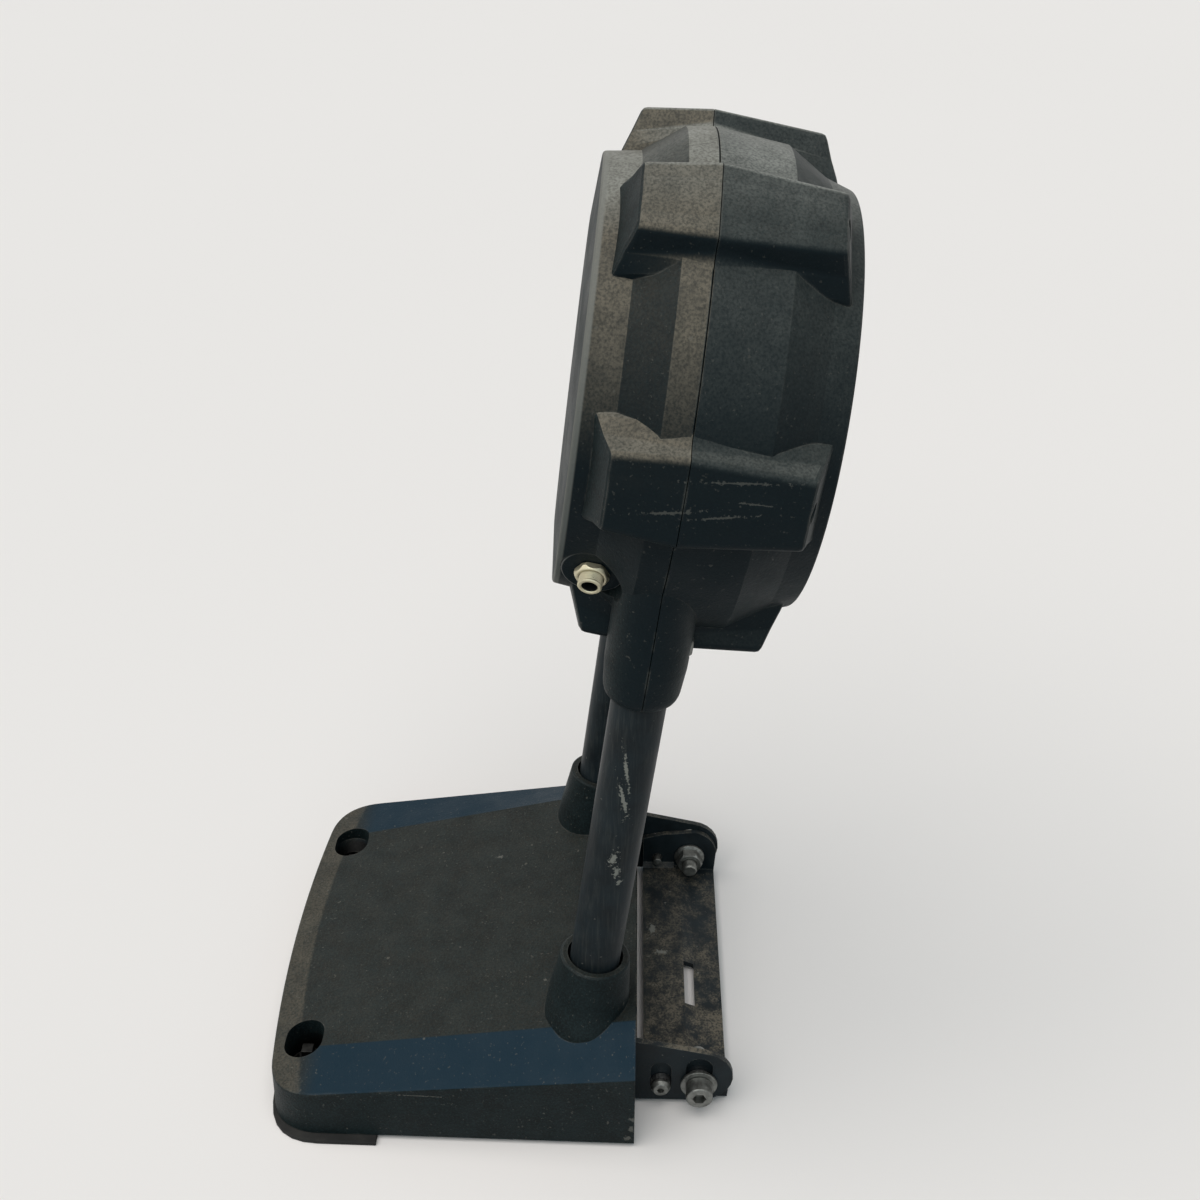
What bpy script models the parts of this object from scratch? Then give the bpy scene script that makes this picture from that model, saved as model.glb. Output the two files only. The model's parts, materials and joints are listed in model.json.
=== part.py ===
"""Electronic kick drum pad: round housing on two tubes, wedge base cover, steel plates."""
import math

import bmesh
import bpy
from mathutils import Matrix, Vector

for old in list(bpy.data.objects):
    bpy.data.objects.remove(old, do_unlink=True)

# Units and clearances: every size below is in millimetres and is turned into metres once
MM = 0.001
GAP = 0.3
FIT = 0.4
WALL = 3.0
PAST = 20.0
SIDES = ((-1, "near"), (1, "far"))

# Head: centre, lean towards the drummer, and the turned outline: distances along the axis (A to the
# audience, D to the drummer) and how far each step lies in from the radius at the parting plane
HEAD_Y = 0.2
HEAD_Z = 339.6
LEAN = 7.18
HEAD_SEGS = 48
R_PART = 100.9
A_STEP1 = 11.1
IN_STEP1 = 1.4
A_STEP2 = 27.2
IN_STEP2 = 12.5
A_EDGE = 41.9
IN_EDGE = 14.5
A_DISC = 43.8
IN_DISC = 38.6
D_STEP1 = 29.2
IN_D_STEP1 = 2.7
D_STEP2 = 45.9
IN_D_STEP2 = 12.7
D_RIM = 57.2
IN_RIM = 16.3
RIM_WIDTH = 7.6
EDGE_SOFT = 1.6
LIP_T = 2.6
LIP_L = 3.0

# Lugs across the parting plane
LUG_COUNT = 6
LUG_OUT = 6.5
LUG_W = 17.8
LUG_END_OUT = 4.2
LUG_A_AUD = 27.9
LUG_W_AUD = 15.8
LUG_A_DRUM = 46.1
LUG_W_DRUM = 14.5
LUG_FLARE = 5.7
LUG_ROOT = 15.9
LUG_FOOT_AUD = 7.9
LUG_FOOT_DRUM = 5.4
LUG_SOFT = 1.6

# Housing screws
LUG_SCREW_IN = 0.6
SCREW_R = 2.0
SCREW_HEAD_R = 3.6
SCREW_HEAD_H = 2.6
SCREW_SEAT = 30.0
SCREW_TIP = 12.0
SCREW_SLOT_W = 0.9
SCREW_SLOT_D = 1.3

# Tubes and their sockets
TUBE_X = 71.2
TUBE_Y = 43.4
TUBE_R = 11.8
TUBE_WALL = 1.6
TUBE_TOP = 312.0
SOCKET_R = 17.2
SOCKET_END = 235.0
SOCKET_ROUND = 9.5
SOCKET_ROUND_IN = 4.3
SOCKET_CAP = 8.0
CLAMP_T = 262.0
CLAMP_R = 2.5
CLAMP_HEAD_R = 4.6
CLAMP_HEAD_H = 3.0
CLAMP_SINK = 3.2
PLUG_L = 15.6
BASE_BOLT_R = 3.0
BASE_BOLT_HEAD_R = 5.0
BASE_BOLT_HEAD_H = 1.8
BASE_BOLT_IN = 12.0
KEY_SMALL = 3.2
KEY_BASE = 4.0

# Strike pad, foam, sensor
PAD_CLEAR = 0.7
PAD_FACE = 56.4
PAD_T = 3.0
PAD_CROWN = 0.8
PLATE_T = 1.2
PLATE_SEAT_W = 5.0
PLATE_A = 43.0
SENSOR_R = 17.5
SENSOR_T = 1.0
SENSOR_FOAM_T = 4.0
LEAD_R = 0.7
LEAD_APART = 2.0
LEAD_BEND = 16.0

# Jack in a round pocket at the lower near side of the audience half
JACK_ANGLE = -35.5
JACK_TURN = -25.0
JACK_TILT = 5.0
JACK_CUP = 2.2
JACK_A = 27.0
JACK_IN = 13.9
JACK_PLATE_R = 12.6
JACK_PLATE_T = 1.3
JACK_NUT_AF = 13.0
JACK_NUT_H = 3.0
JACK_BUSH_R = 4.9
JACK_BUSH_OUT = 9.0
JACK_BORE_R = 3.2
JACK_BODY_R = 8.0
JACK_BODY_L = 24.0
JACK_END_T = 3.0

# Base cover: lower contour (skirt) and upper contour (sloping top), both narrower to the front
COVER_REAR = 13.3
COVER_Z0 = 2.8
SKIRT_HALF = 114.2
SKIRT_TAPER = 0.027
SKIRT_DRAFT = 1.0
SKIRT_Z = 45.9
SKIRT_SLOPE = -0.113
SKIRT_FRONT = 194.4
SKIRT_BOW = 0.00064
SKIRT_CORNER = 23.0
FACET_SIDE = 25.0
TOP_TAPER = 0.055
TOP_Z = 59.6
TOP_SLOPE = -0.192
FACET_FRONT = 11.2
TOP_BOW = 0.00095
TOP_CORNER = 13.0

# Tube sleeves and corner wells of the cover
SLEEVE_RIM_R = 16.5
SLEEVE_RIM_T = 85.7
SLEEVE_BORE = 13.2
SLEEVE_BORE_T = 72.0
SLEEVE_EDGE = 0.7
SLEEVE_MID_R = 19.3
SLEEVE_MID_T = 63.0
SLEEVE_FOOT_T = 50.0
SLEEVE_FOOT_OUT = 2.8
SLEEVE_FOOT_AX = 22.9
SLEEVE_FOOT_AY = 20.2
SLEEVE_LOW = 34.0
WELL_IN_X = 17.2
WELL_IN_Y = 7.5
WELL_R = 9.5
WELL_WALL = 2.2
WELL_FLOOR = 8.0

# Base plate with its upright outer ears
STEEL = 3.0
PLATE_Z = 3.6
PLATE_REAR = 12.0
PLATE_INSET = 5.0
EAR_IN = 85.0
EAR_BOLT_Y = -18.1
EAR_BOLT_Z = 15.1
EAR_END_R = 16.6
EAR_END_Z = 19.2
EAR_TOP = 44.5
EAR_SHOULDER_Y = 18.0
EAR_TAIL_Z = 28.0
EAR_TAIL_Y = 46.0
PIN_Y = 0.5
PIN_Z = 13.7
TRAVEL = 10.0

# Pedal plate: flat, step down, lip, inner ears and a window in the step
WEB_FRONT = 8.7
WEB_STEP = -12.8
WEB_LIP = -18.8
WEB_REAR = -32.6
WEB_Z = 7.4
WEB_DROP = 2.6
WINDOW_X0 = -27.4
WINDOW_X1 = 3.5
WINDOW_EDGE = 0.3
EAR2_FRONT_Z = 27.5
EAR2_SHOULDER_Z = 30.6
EAR2_END_R = 15.4
EAR2_END_Z = 17.0
BEND = 3.0

# Hardware of the pedal plate
BOLT_R = 4.0
BOLT_HEAD_R = 6.5
BOLT_HEAD_H = 8.0
BOLT_KEY = 6.0
BOLT_KEY_D = 4.2
BOLT_PAST = 14.3
WASHER_R = 9.0
WASHER_T = 1.6
BUSH_R = 6.2
FLANGE_R = 8.6
FLANGE_T = 1.6
NUT_AF = 13.0
NUT_H = 6.4
PIN_R = 2.4
PIN_HEAD_R = 4.8
PIN_HEAD_H = 3.4
PIN_PAST = 5.0
COLLAR_R = 4.8

# Anchor bolts, feet and cover screws
ANCHOR_R = 3.0
ANCHOR_KEY = 5.6
ANCHOR_KEY_H = 4.6
ANCHOR_COLLAR = 1.6
ANCHOR_TOP = 19.0
ANCHOR_TIP = 1.2
ANCHOR_POINT = 4.0
FOOT_T = 2.4
FOOT_W = 13.0
FOOT_OUT = 1.0
FOOT_BACK = 137.0
REAR_FOOT_R = 9.0
REAR_FOOT_IN = 26.2
REAR_FOOT_Y = 60.0
BOSS_X = 52.0
BOSS_YS = ((42.0, "rear"), (150.0, "front"))
BOSS_R = 5.0
BOSS_HOLE = 18.0
COVER_SCREW_R = 1.9
COVER_SCREW_HEAD = 3.8
COVER_SCREW_HEAD_H = 1.8
COVER_SCREW_TIP = 17.0

# Looks: colour, roughness, metallic
BLACK_PLASTIC = ((0.022, 0.023, 0.025), 0.55, 0.0)
BLACK_PAINT = ((0.018, 0.018, 0.02), 0.45, 0.4)
NICKEL = ((0.72, 0.68, 0.6), 0.28, 1.0)
ZINC = ((0.32, 0.33, 0.34), 0.4, 1.0)
BARE_STEEL = ((0.45, 0.45, 0.46), 0.4, 1.0)
BRASS = ((0.72, 0.52, 0.25), 0.35, 1.0)
RUBBER = ((0.012, 0.012, 0.012), 0.85, 0.0)
FABRIC = ((0.03, 0.03, 0.032), 0.95, 0.0)
FOAM = ((0.12, 0.12, 0.13), 0.95, 0.0)
WIRE = ((0.35, 0.03, 0.03), 0.5, 0.0)


def frame_of(origin, x_axis, y_axis):
    """Rigid frame from an origin and two square axes."""
    x = Vector(x_axis).normalized()
    y = Vector(y_axis).normalized()
    m = Matrix((x, y, x.cross(y))).transposed().to_4x4()
    m.translation = Vector(origin)
    return m


# Radii of the head's outline and of what sits in it
R_STEP1 = R_PART - IN_STEP1
R_STEP2 = R_PART - IN_STEP2
R_EDGE = R_PART - IN_EDGE
R_DISC = R_PART - IN_DISC
RD_STEP1 = R_PART - IN_D_STEP1
RD_STEP2 = R_PART - IN_D_STEP2
R_RIM = R_PART - IN_RIM
R_OPEN = R_RIM - RIM_WIDTH
PLATE_R = R_OPEN + PLATE_SEAT_W
LUG_D = R_PART + LUG_OUT
LUG_D_END = R_PART + LUG_END_OUT
LUG_FOOT_R = R_PART - LUG_ROOT
LUG_SCREW_R = R_PART - LUG_SCREW_IN
JACK_D = R_PART - JACK_IN

# Places in the base that follow the skirt
TOP_HALF = SKIRT_HALF - FACET_SIDE
TOP_FRONT = SKIRT_FRONT - FACET_FRONT
WELL_X = TOP_HALF - WELL_IN_X
WELL_Y = TOP_FRONT - WELL_IN_Y
REAR_FOOT_X = SKIRT_HALF - REAR_FOOT_IN

SIN = math.sin(math.radians(LEAN))
COS = math.cos(math.radians(LEAN))
# The part's origin: the floor point under the middle of its length, from the foot strip to the head's rim
MIDDLE = Vector((0.0, (SKIRT_FRONT + SKIRT_DRAFT + FOOT_OUT + HEAD_Y - D_RIM * COS - (R_RIM - EDGE_SOFT) * SIN) / 2, 0.0))
# Head frame: x to the near side, y up the disc, z along the axis to the audience
HEAD = frame_of((0.0, HEAD_Y, HEAD_Z), (-1, 0, 0), (0, -SIN, COS))


def tube_frame(side):
    """Frame on a tube axis at the floor, z up the tube."""
    return frame_of((side * TUBE_X, TUBE_Y, 0.0), (1, 0, 0), (0, COS, SIN))


def ear_frame(side, y, z):
    """Frame at an ear, z outwards."""
    return frame_of((0.0, y, z), (0, side, 0), (0, 0, 1))


def at(x, y, z=0.0):
    """Frame moved to a point."""
    return Matrix.Translation((x, y, z))


def polar(radius, degrees):
    """Point at a radius and an angle."""
    a = math.radians(degrees)
    return radius * math.cos(a), radius * math.sin(a)


def circle(radius, segs, y=0.0, z=0.0):
    """Points of a circle about a centre."""
    ring = [polar(radius, 360.0 * i / segs) for i in range(segs)]
    return [(y + p, z + q) for p, q in ring]


def outward(bm):
    """Turn all faces of a closed body outwards."""
    bmesh.ops.recalc_face_normals(bm, faces=bm.faces)
    if bm.calc_volume(signed=True) < 0:
        bmesh.ops.reverse_faces(bm, faces=bm.faces)
    return bm


def revolve(profile, segs):
    """Closed body turned about z from a closed loop of (radius, height) points."""
    bm = bmesh.new()
    rings = []
    for r, h in profile:
        points = [(x, y, h) for x, y in circle(r, segs)] if r > 1e-6 else [(0, 0, h)]
        rings.append([bm.verts.new(p) for p in points])
    for ring, nxt in zip(rings, rings[1:] + rings[:1]):
        if len(ring) == 1 and len(nxt) == 1:
            continue
        for i in range(segs):
            j = (i + 1) % segs
            loop = []
            for vert in (ring[i % len(ring)], ring[j % len(ring)], nxt[j % len(nxt)], nxt[i % len(nxt)]):
                if vert not in loop:
                    loop.append(vert)
            bm.faces.new(loop)
    return outward(bm)


def loft(loops):
    """Closed body through loops of equal point counts, flat ends."""
    bm = bmesh.new()
    rows = [[bm.verts.new(p) for p in loop] for loop in loops]
    count = len(rows[0])
    for low, high in zip(rows, rows[1:]):
        for i in range(count):
            j = (i + 1) % count
            bm.faces.new((low[i], low[j], high[j], high[i]))
    bm.faces.new(rows[0])
    bm.faces.new(rows[-1])
    return outward(bm)


def prism(points, h0, h1):
    """Polygon in xy drawn up from h0 to h1."""
    return loft([[(x, y, h) for x, y in points] for h in (h0, h1)])


def upright(points, x0, x1):
    """Side-view outline (y, z) drawn across x."""
    return loft([[(x, y, z) for y, z in points] for x in (x0, x1)])


def disc(radius, h0, h1, segs=24, inner=0.0):
    """Disc, or a ring when an inner radius is given."""
    if inner > 0:
        return revolve([(radius, h0), (radius, h1), (inner, h1), (inner, h0)], segs)
    return revolve([(0, h0), (radius, h0), (radius, h1), (0, h1)], segs)


def screw_hole(radius, end, head_radius, seat, segs):
    """Stepped cutter: wide below its seat, thin above it."""
    deep = seat - 60.0
    return revolve([(0, deep), (head_radius, deep), (head_radius, seat), (radius, seat), (radius, end), (0, end)],
                   segs)


def hexagon(across, turn=0.0):
    """Corner points of a hexagon given its width across flats."""
    return [polar(across / math.sqrt(3), turn + 60 * i) for i in range(6)]


def brick(x0, x1, y0, y1, z0, z1):
    """Plain block between any two corners."""
    x0, x1 = sorted((x0, x1))
    return prism([(x0, y0), (x1, y0), (x1, y1), (x0, y1)], z0, z1)


def placed(bm, frame):
    """The same body moved by a frame."""
    bm.transform(frame)
    return bm


def group(parts):
    """Separate bodies kept in one mesh, for a cut or a join."""
    out = bmesh.new()
    for bm in parts:
        mesh = bpy.data.meshes.new("tmp")
        bm.to_mesh(mesh)
        out.from_mesh(mesh)
        bm.free()
        bpy.data.meshes.remove(mesh)
    return out


def combine(base, other, operation):
    """Exact boolean of two bodies; both are used up."""
    objs = []
    for bm in (base, other):
        mesh = bpy.data.meshes.new("tmp")
        bm.to_mesh(mesh)
        bm.free()
        ob = bpy.data.objects.new("tmp", mesh)
        bpy.context.collection.objects.link(ob)
        objs.append(ob)
    mod = objs[0].modifiers.new("cut", 'BOOLEAN')
    mod.operation = operation
    mod.solver = 'EXACT'
    mod.object = objs[1]
    deps = bpy.context.evaluated_depsgraph_get()
    result = bpy.data.meshes.new_from_object(objs[0].evaluated_get(deps))
    out = bmesh.new()
    out.from_mesh(result)
    bmesh.ops.remove_doubles(out, verts=out.verts, dist=0.0005)
    bmesh.ops.dissolve_degenerate(out, edges=out.edges, dist=0.0005)
    for ob in objs:
        mesh = ob.data
        bpy.data.objects.remove(ob, do_unlink=True)
        bpy.data.meshes.remove(mesh)
    bpy.data.meshes.remove(result)
    return out


def cut(base, *parts):
    """Take bodies that are clear of each other away from one."""
    return combine(base, group(parts), 'DIFFERENCE')


def add(base, *parts):
    """Join bodies that are clear of each other to one."""
    return combine(base, group(parts), 'UNION')


def material(name, colour, roughness, metallic):
    """One Principled material per part."""
    mat = bpy.data.materials.new(name)
    mat.use_nodes = True
    node = mat.node_tree.nodes.get("Principled BSDF")
    node.inputs["Base Color"].default_value = (*colour, 1.0)
    node.inputs["Roughness"].default_value = roughness
    node.inputs["Metallic"].default_value = metallic
    mat.diffuse_color = (*colour, 1.0)
    return mat


def finish(name, bm, look, origin=(0.0, 0.0, 0.0), smooth=30.0):
    """Name a body, set its origin and shading, and give it its material."""
    outward(bm)
    bm.transform(Matrix.Scale(MM, 4) @ Matrix.Translation(-Vector(origin)))
    mesh = bpy.data.meshes.new(name)
    bm.to_mesh(mesh)
    bm.free()
    ob = bpy.data.objects.new(name, mesh)
    ob.location = (Vector(origin) - MIDDLE) * MM
    bpy.context.collection.objects.link(ob)
    mesh.shade_smooth()
    mesh.set_sharp_from_angle(angle=math.radians(smooth))
    mesh.materials.append(material("mat_" + name, *look))
    return ob


LUG_ANGLES = [360.0 * i / LUG_COUNT for i in range(LUG_COUNT)]
LUG_SPOTS = [at(*polar(LUG_SCREW_R, deg)) for deg in LUG_ANGLES]
LIP = R_PART - WALL - GAP
PAD_R = R_OPEN - PAD_CLEAR
PAD_BACK = PAD_FACE - PAD_T
LEDGE = PLATE_A + PLATE_T + GAP
CLAMP_SEAT = CLAMP_SINK - SOCKET_R
TILT_OUT, TILT_UP = polar(1.0, JACK_TILT)
JACK = frame_of((*polar(JACK_D, JACK_ANGLE), JACK_A), (*polar(-TILT_UP, JACK_TURN), TILT_OUT),
                (*polar(1.0, JACK_TURN - 90.0), 0))


# One lug half in the head frame: straight sides, flared feet and a sloping end
def lug(sign, a_end, w_end, a_foot):
    """Lug half, radial direction along x."""
    crown = 2.6
    half = (LUG_W - LUG_SOFT, LUG_W, LUG_W + LUG_SOFT, LUG_W + LUG_FLARE, LUG_W + LUG_FLARE)
    half_end = (w_end - LUG_SOFT, w_end, w_end + LUG_SOFT, w_end + LUG_FLARE * 0.6, w_end + LUG_FLARE)
    radial = (LUG_D, LUG_D - LUG_SOFT, R_PART + crown, R_PART - EDGE_SOFT, LUG_FOOT_R)
    radial_end = (LUG_D_END, LUG_D_END - LUG_SOFT, LUG_D_END - 8.0, LUG_D_END - 13.0, LUG_FOOT_R)
    slope = a_foot - a_end
    ends = (a_end, a_end + LUG_SOFT * 0.5, a_end + slope * 0.5, a_end + slope * 0.78, a_foot)
    near = [(r, w, sign * GAP / 2) for r, w in zip(radial, half)]
    far = [(r, w, sign * a) for r, w, a in zip(radial_end, half_end, ends)]
    return loft([row + [(r, -w, a) for r, w, a in reversed(row)] for row in (near, far)])


def lugs(*shape):
    """Lug halves at their angles round the head."""
    return [placed(lug(*shape), Matrix.Rotation(math.radians(deg), 4, 'Z')) for deg in LUG_ANGLES]


def socket_half(side, sign):
    """Half of a tube socket with a rounded lower end, in the head frame."""
    steps = 4
    prof = [(0, SOCKET_END), (SOCKET_R - SOCKET_ROUND_IN, SOCKET_END)]
    for i in range(1, steps + 1):
        c, s = polar(1.0, 90.0 * i / steps)
        prof.append((SOCKET_R - SOCKET_ROUND_IN * (1 - s), SOCKET_END + SOCKET_ROUND * (1 - c)))
    top = TUBE_TOP + SOCKET_CAP
    prof += [(SOCKET_R, top), (0, top)]
    body = placed(revolve(prof, 28), HEAD.inverted() @ tube_frame(side))
    reach = R_PART * 2
    lo, hi = sorted((sign * GAP / 2, sign * reach))
    return combine(body, brick(-reach, reach, -reach, reach, lo, hi), 'INTERSECT')


def tube_bore(side):
    """Bore for a tube in its socket, in the head frame."""
    return placed(disc(TUBE_R + GAP, SOCKET_END - PAST, TUBE_TOP + 2.0, 24), HEAD.inverted() @ tube_frame(side))


def clamp_frame(side):
    """Frame of a tube clamp screw in the head frame, z to the audience."""
    spot = HEAD.inverted() @ (tube_frame(side) @ Vector((0, 0, CLAMP_T)))
    return at(spot.x, spot.y)


def housing_audience_half():
    """Shallow disc, ring, band and ramp, with the short lug halves and the jack's pocket."""
    outer = [(0, A_DISC), (R_DISC, A_DISC), (R_EDGE - EDGE_SOFT, A_EDGE + 0.1), (R_EDGE - 0.1, A_EDGE - EDGE_SOFT),
             (R_STEP2, A_STEP2), (R_STEP1, A_STEP1), (R_PART, GAP / 2)]
    inner = [(LIP, GAP / 2), (LIP, -LIP_L), (LIP - LIP_T, -LIP_L), (LIP - LIP_T, LIP_L),
             (R_STEP1 - WALL, A_STEP1 - WALL / 2), (R_STEP2 - WALL, A_STEP2 - WALL / 2),
             (R_EDGE - WALL, A_EDGE - WALL), (R_DISC, A_DISC - WALL), (0, A_DISC - WALL)]
    shell = revolve(outer + inner, HEAD_SEGS)
    shell = add(shell, *lugs(1, LUG_A_AUD, LUG_W_AUD, A_EDGE - LUG_FOOT_AUD))
    shell = add(shell, *[socket_half(side, 1) for side, _ in SIDES])
    half = WALL / 2
    core = revolve([(0, GAP), (R_PART - half, GAP), (R_STEP1 - half, A_STEP1), (R_STEP2 - half, A_STEP2),
                    (R_EDGE - half, A_EDGE - half), (0, A_EDGE - half)], HEAD_SEGS)
    cup = placed(disc(JACK_PLATE_R + GAP + JACK_CUP, -WALL, PAST, 36), JACK)
    shell = add(shell, combine(cup, core, 'INTERSECT'))
    shell = cut(shell, *[tube_bore(side) for side, _ in SIDES])
    pilots = [placed(disc(SCREW_R + FIT / 2, -1.0, SCREW_TIP + 1.0, 12), spot) for spot in LUG_SPOTS]
    pilots += [placed(disc(CLAMP_R + FIT / 2, -1.0, SOCKET_R - 3.0, 12), clamp_frame(side)) for side, _ in SIDES]
    shell = cut(shell, *pilots)
    shell = cut(shell, placed(disc(JACK_PLATE_R + GAP, 0.0, A_EDGE, 36), JACK))
    shell = cut(shell, placed(disc(JACK_BUSH_R + FIT, -WALL * 3, 2.0, 20), JACK))
    finish("housing_audience_half", placed(shell, HEAD), BLACK_PLASTIC)


def housing_drummer_half():
    """Deep ring open towards the drummer, with the long lug halves and the pad's ledge."""
    outer = [(R_PART, -GAP / 2), (RD_STEP1, -D_STEP1), (RD_STEP2, -D_STEP2), (R_RIM, -D_RIM + EDGE_SOFT),
             (R_RIM - EDGE_SOFT, -D_RIM)]
    groove = PLATE_R + GAP * 4
    inner = [(R_OPEN + 0.8, -D_RIM), (R_OPEN, -D_RIM + 0.8), (R_OPEN, -LEDGE), (groove, -LEDGE), (groove, WALL - PLATE_A),
             (RD_STEP1 - WALL, WALL / 2 - D_STEP1), (R_PART - WALL, -GAP / 2)]
    shell = revolve(outer + inner, HEAD_SEGS)
    shell = add(shell, *lugs(-1, LUG_A_DRUM, LUG_W_DRUM, D_STEP2 + LUG_FOOT_DRUM))
    shell = add(shell, *[socket_half(side, -1) for side, _ in SIDES])
    shell = cut(shell, *[tube_bore(side) for side, _ in SIDES])
    bores = [placed(screw_hole(SCREW_R + FIT, 2.0, SCREW_HEAD_R + FIT, -SCREW_SEAT, 14), spot) for spot in LUG_SPOTS]
    bores += [placed(screw_hole(CLAMP_R + FIT, 2.0, CLAMP_HEAD_R + FIT, CLAMP_SEAT, 14), clamp_frame(side))
              for side, _ in SIDES]
    shell = cut(shell, *bores)
    shell = cut(shell, disc(LIP + GAP, -LIP_L - GAP, 2.0, HEAD_SEGS, inner=LIP - LIP_T - GAP))
    finish("housing_drummer_half", placed(shell, HEAD), BLACK_PLASTIC)


def strike_parts():
    """Fabric strike pad with a soft edge, its foam, the sensor plate and the sensor on its foam ring."""
    prof = [(0, -PAD_FACE - PAD_CROWN), (PAD_R * 0.6, -PAD_FACE - PAD_CROWN * 0.6), (PAD_R - 2.0, -PAD_FACE),
            (PAD_R, -PAD_FACE + 1.6), (PAD_R, -PAD_BACK), (0, -PAD_BACK)]
    finish("strike_pad", placed(revolve(prof, 48), HEAD), FABRIC, (0.0, HEAD_Y, HEAD_Z))
    finish("strike_foam", placed(disc(PAD_R - 1.0, GAP - PAD_BACK, -LEDGE, 48), HEAD), FOAM)
    finish("sensor_plate", placed(disc(PLATE_R, -PLATE_A - PLATE_T, -PLATE_A, 48), HEAD), BARE_STEEL)
    foam_top = SENSOR_FOAM_T - PLATE_A
    finish("sensor_foam", placed(disc(SENSOR_R, GAP - PLATE_A, foam_top, 24), HEAD), FOAM)
    finish("sensor_disc", placed(disc(SENSOR_R - 1.0, foam_top + GAP, foam_top + GAP + SENSOR_T, 24), HEAD), BRASS)
    return foam_top + GAP + SENSOR_T


def housing_fasteners():
    """Slotted housing screws in the lugs and a clamp screw through each socket and tube."""
    top = -SCREW_SEAT - GAP
    low = top - SCREW_HEAD_H
    prof = [(0, low), (SCREW_HEAD_R - 1.0, low), (SCREW_HEAD_R, low + 1.4), (SCREW_HEAD_R, top), (SCREW_R, top),
            (SCREW_R, SCREW_TIP - 1.5), (0, SCREW_TIP)]
    for i, spot in enumerate(LUG_SPOTS):
        reach = SCREW_HEAD_R + 1.0
        half = SCREW_SLOT_W / 2
        screw = cut(revolve(prof, 12), brick(-reach, reach, -half, half, low - 5.0, low + SCREW_SLOT_D))
        finish(f"housing_screw_{i + 1}", placed(screw, HEAD @ spot), ZINC)
    top = CLAMP_SEAT - GAP
    low = top - CLAMP_HEAD_H
    end = SOCKET_R - 3.6
    prof = [(0, low), (CLAMP_HEAD_R - 1.0, low), (CLAMP_HEAD_R, low + 1.4), (CLAMP_HEAD_R, top), (CLAMP_R, top),
            (CLAMP_R, end - 0.9), (0, end)]
    for side, tag in SIDES:
        screw = cut(revolve(prof, 12), prism(hexagon(KEY_SMALL), low - 5.0, low + 1.8))
        finish("tube_clamp_screw_" + tag, placed(screw, HEAD @ clamp_frame(side)), ZINC)


def jack_parts():
    """Round jack plate, hex nut, and the jack body with its threaded bushing."""
    spot = HEAD @ JACK
    plate_top = GAP + JACK_PLATE_T
    ring = disc(JACK_PLATE_R, GAP, plate_top, 36, inner=JACK_BUSH_R + FIT)
    finish("jack_plate", placed(ring, spot), BLACK_PLASTIC)
    low = plate_top + GAP
    high = low + JACK_NUT_H
    dome = [(0, low), (JACK_NUT_AF * 0.62, low), (JACK_NUT_AF * 0.62, high - 0.9), (JACK_NUT_AF * 0.5, high), (0, high)]
    nut = combine(prism(hexagon(JACK_NUT_AF, 30.0), low, high), revolve(dome, 24), 'INTERSECT')
    nut = cut(nut, disc(JACK_BUSH_R + GAP, low - 1.0, high + 1.0, 20))
    finish("jack_nut", placed(nut, spot), NICKEL)
    shoulder = -WALL - 0.6 - GAP
    tail = shoulder - JACK_BODY_L
    prof = [(JACK_BORE_R, JACK_BUSH_OUT), (JACK_BUSH_R - 0.5, JACK_BUSH_OUT), (JACK_BUSH_R, JACK_BUSH_OUT - 0.6),
            (JACK_BUSH_R, shoulder), (JACK_BODY_R, shoulder), (JACK_BODY_R, tail), (0, tail),
            (0, tail + JACK_END_T), (JACK_BORE_R, tail + JACK_END_T)]
    finish("jack_body", placed(revolve(prof, 24), spot), NICKEL)
    return tail


def bezier(points, t):
    """Place and direction on a cubic curve."""
    a, b, c, d = points
    u = 1 - t
    place = u ** 3 * a + 3 * u * u * t * b + 3 * u * t * t * c + t ** 3 * d
    heading = u * u * (b - a) + 2 * u * t * (c - b) + t * t * (d - c)
    return place, heading.normalized()


def sensor_leads(sensor_back, jack_tail):
    """Two thin leads in one curve from the sensor to the back of the jack."""
    start = Vector((6.0, -3.0, sensor_back + GAP))
    goal = JACK @ Vector((0, 0, jack_tail - GAP))
    curve = (start, start + Vector((0, 0, LEAD_BEND)), JACK @ Vector((0, 0, jack_tail - LEAD_BEND)), goal)
    count = 14
    for shift, (_, tag) in zip((-LEAD_APART / 2, LEAD_APART / 2), SIDES):
        loops = []
        for i in range(count + 1):
            p, d = bezier(curve, i / count)
            u = d.cross(Vector((0.3, 0.9, 0.1))).normalized()
            w = d.cross(u)
            loops.append([tuple(p + u * (shift + c) + w * s) for c, s in circle(LEAD_R, 6)])
        finish("sensor_lead_" + tag, placed(loft(loops), HEAD), WIRE)


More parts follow.
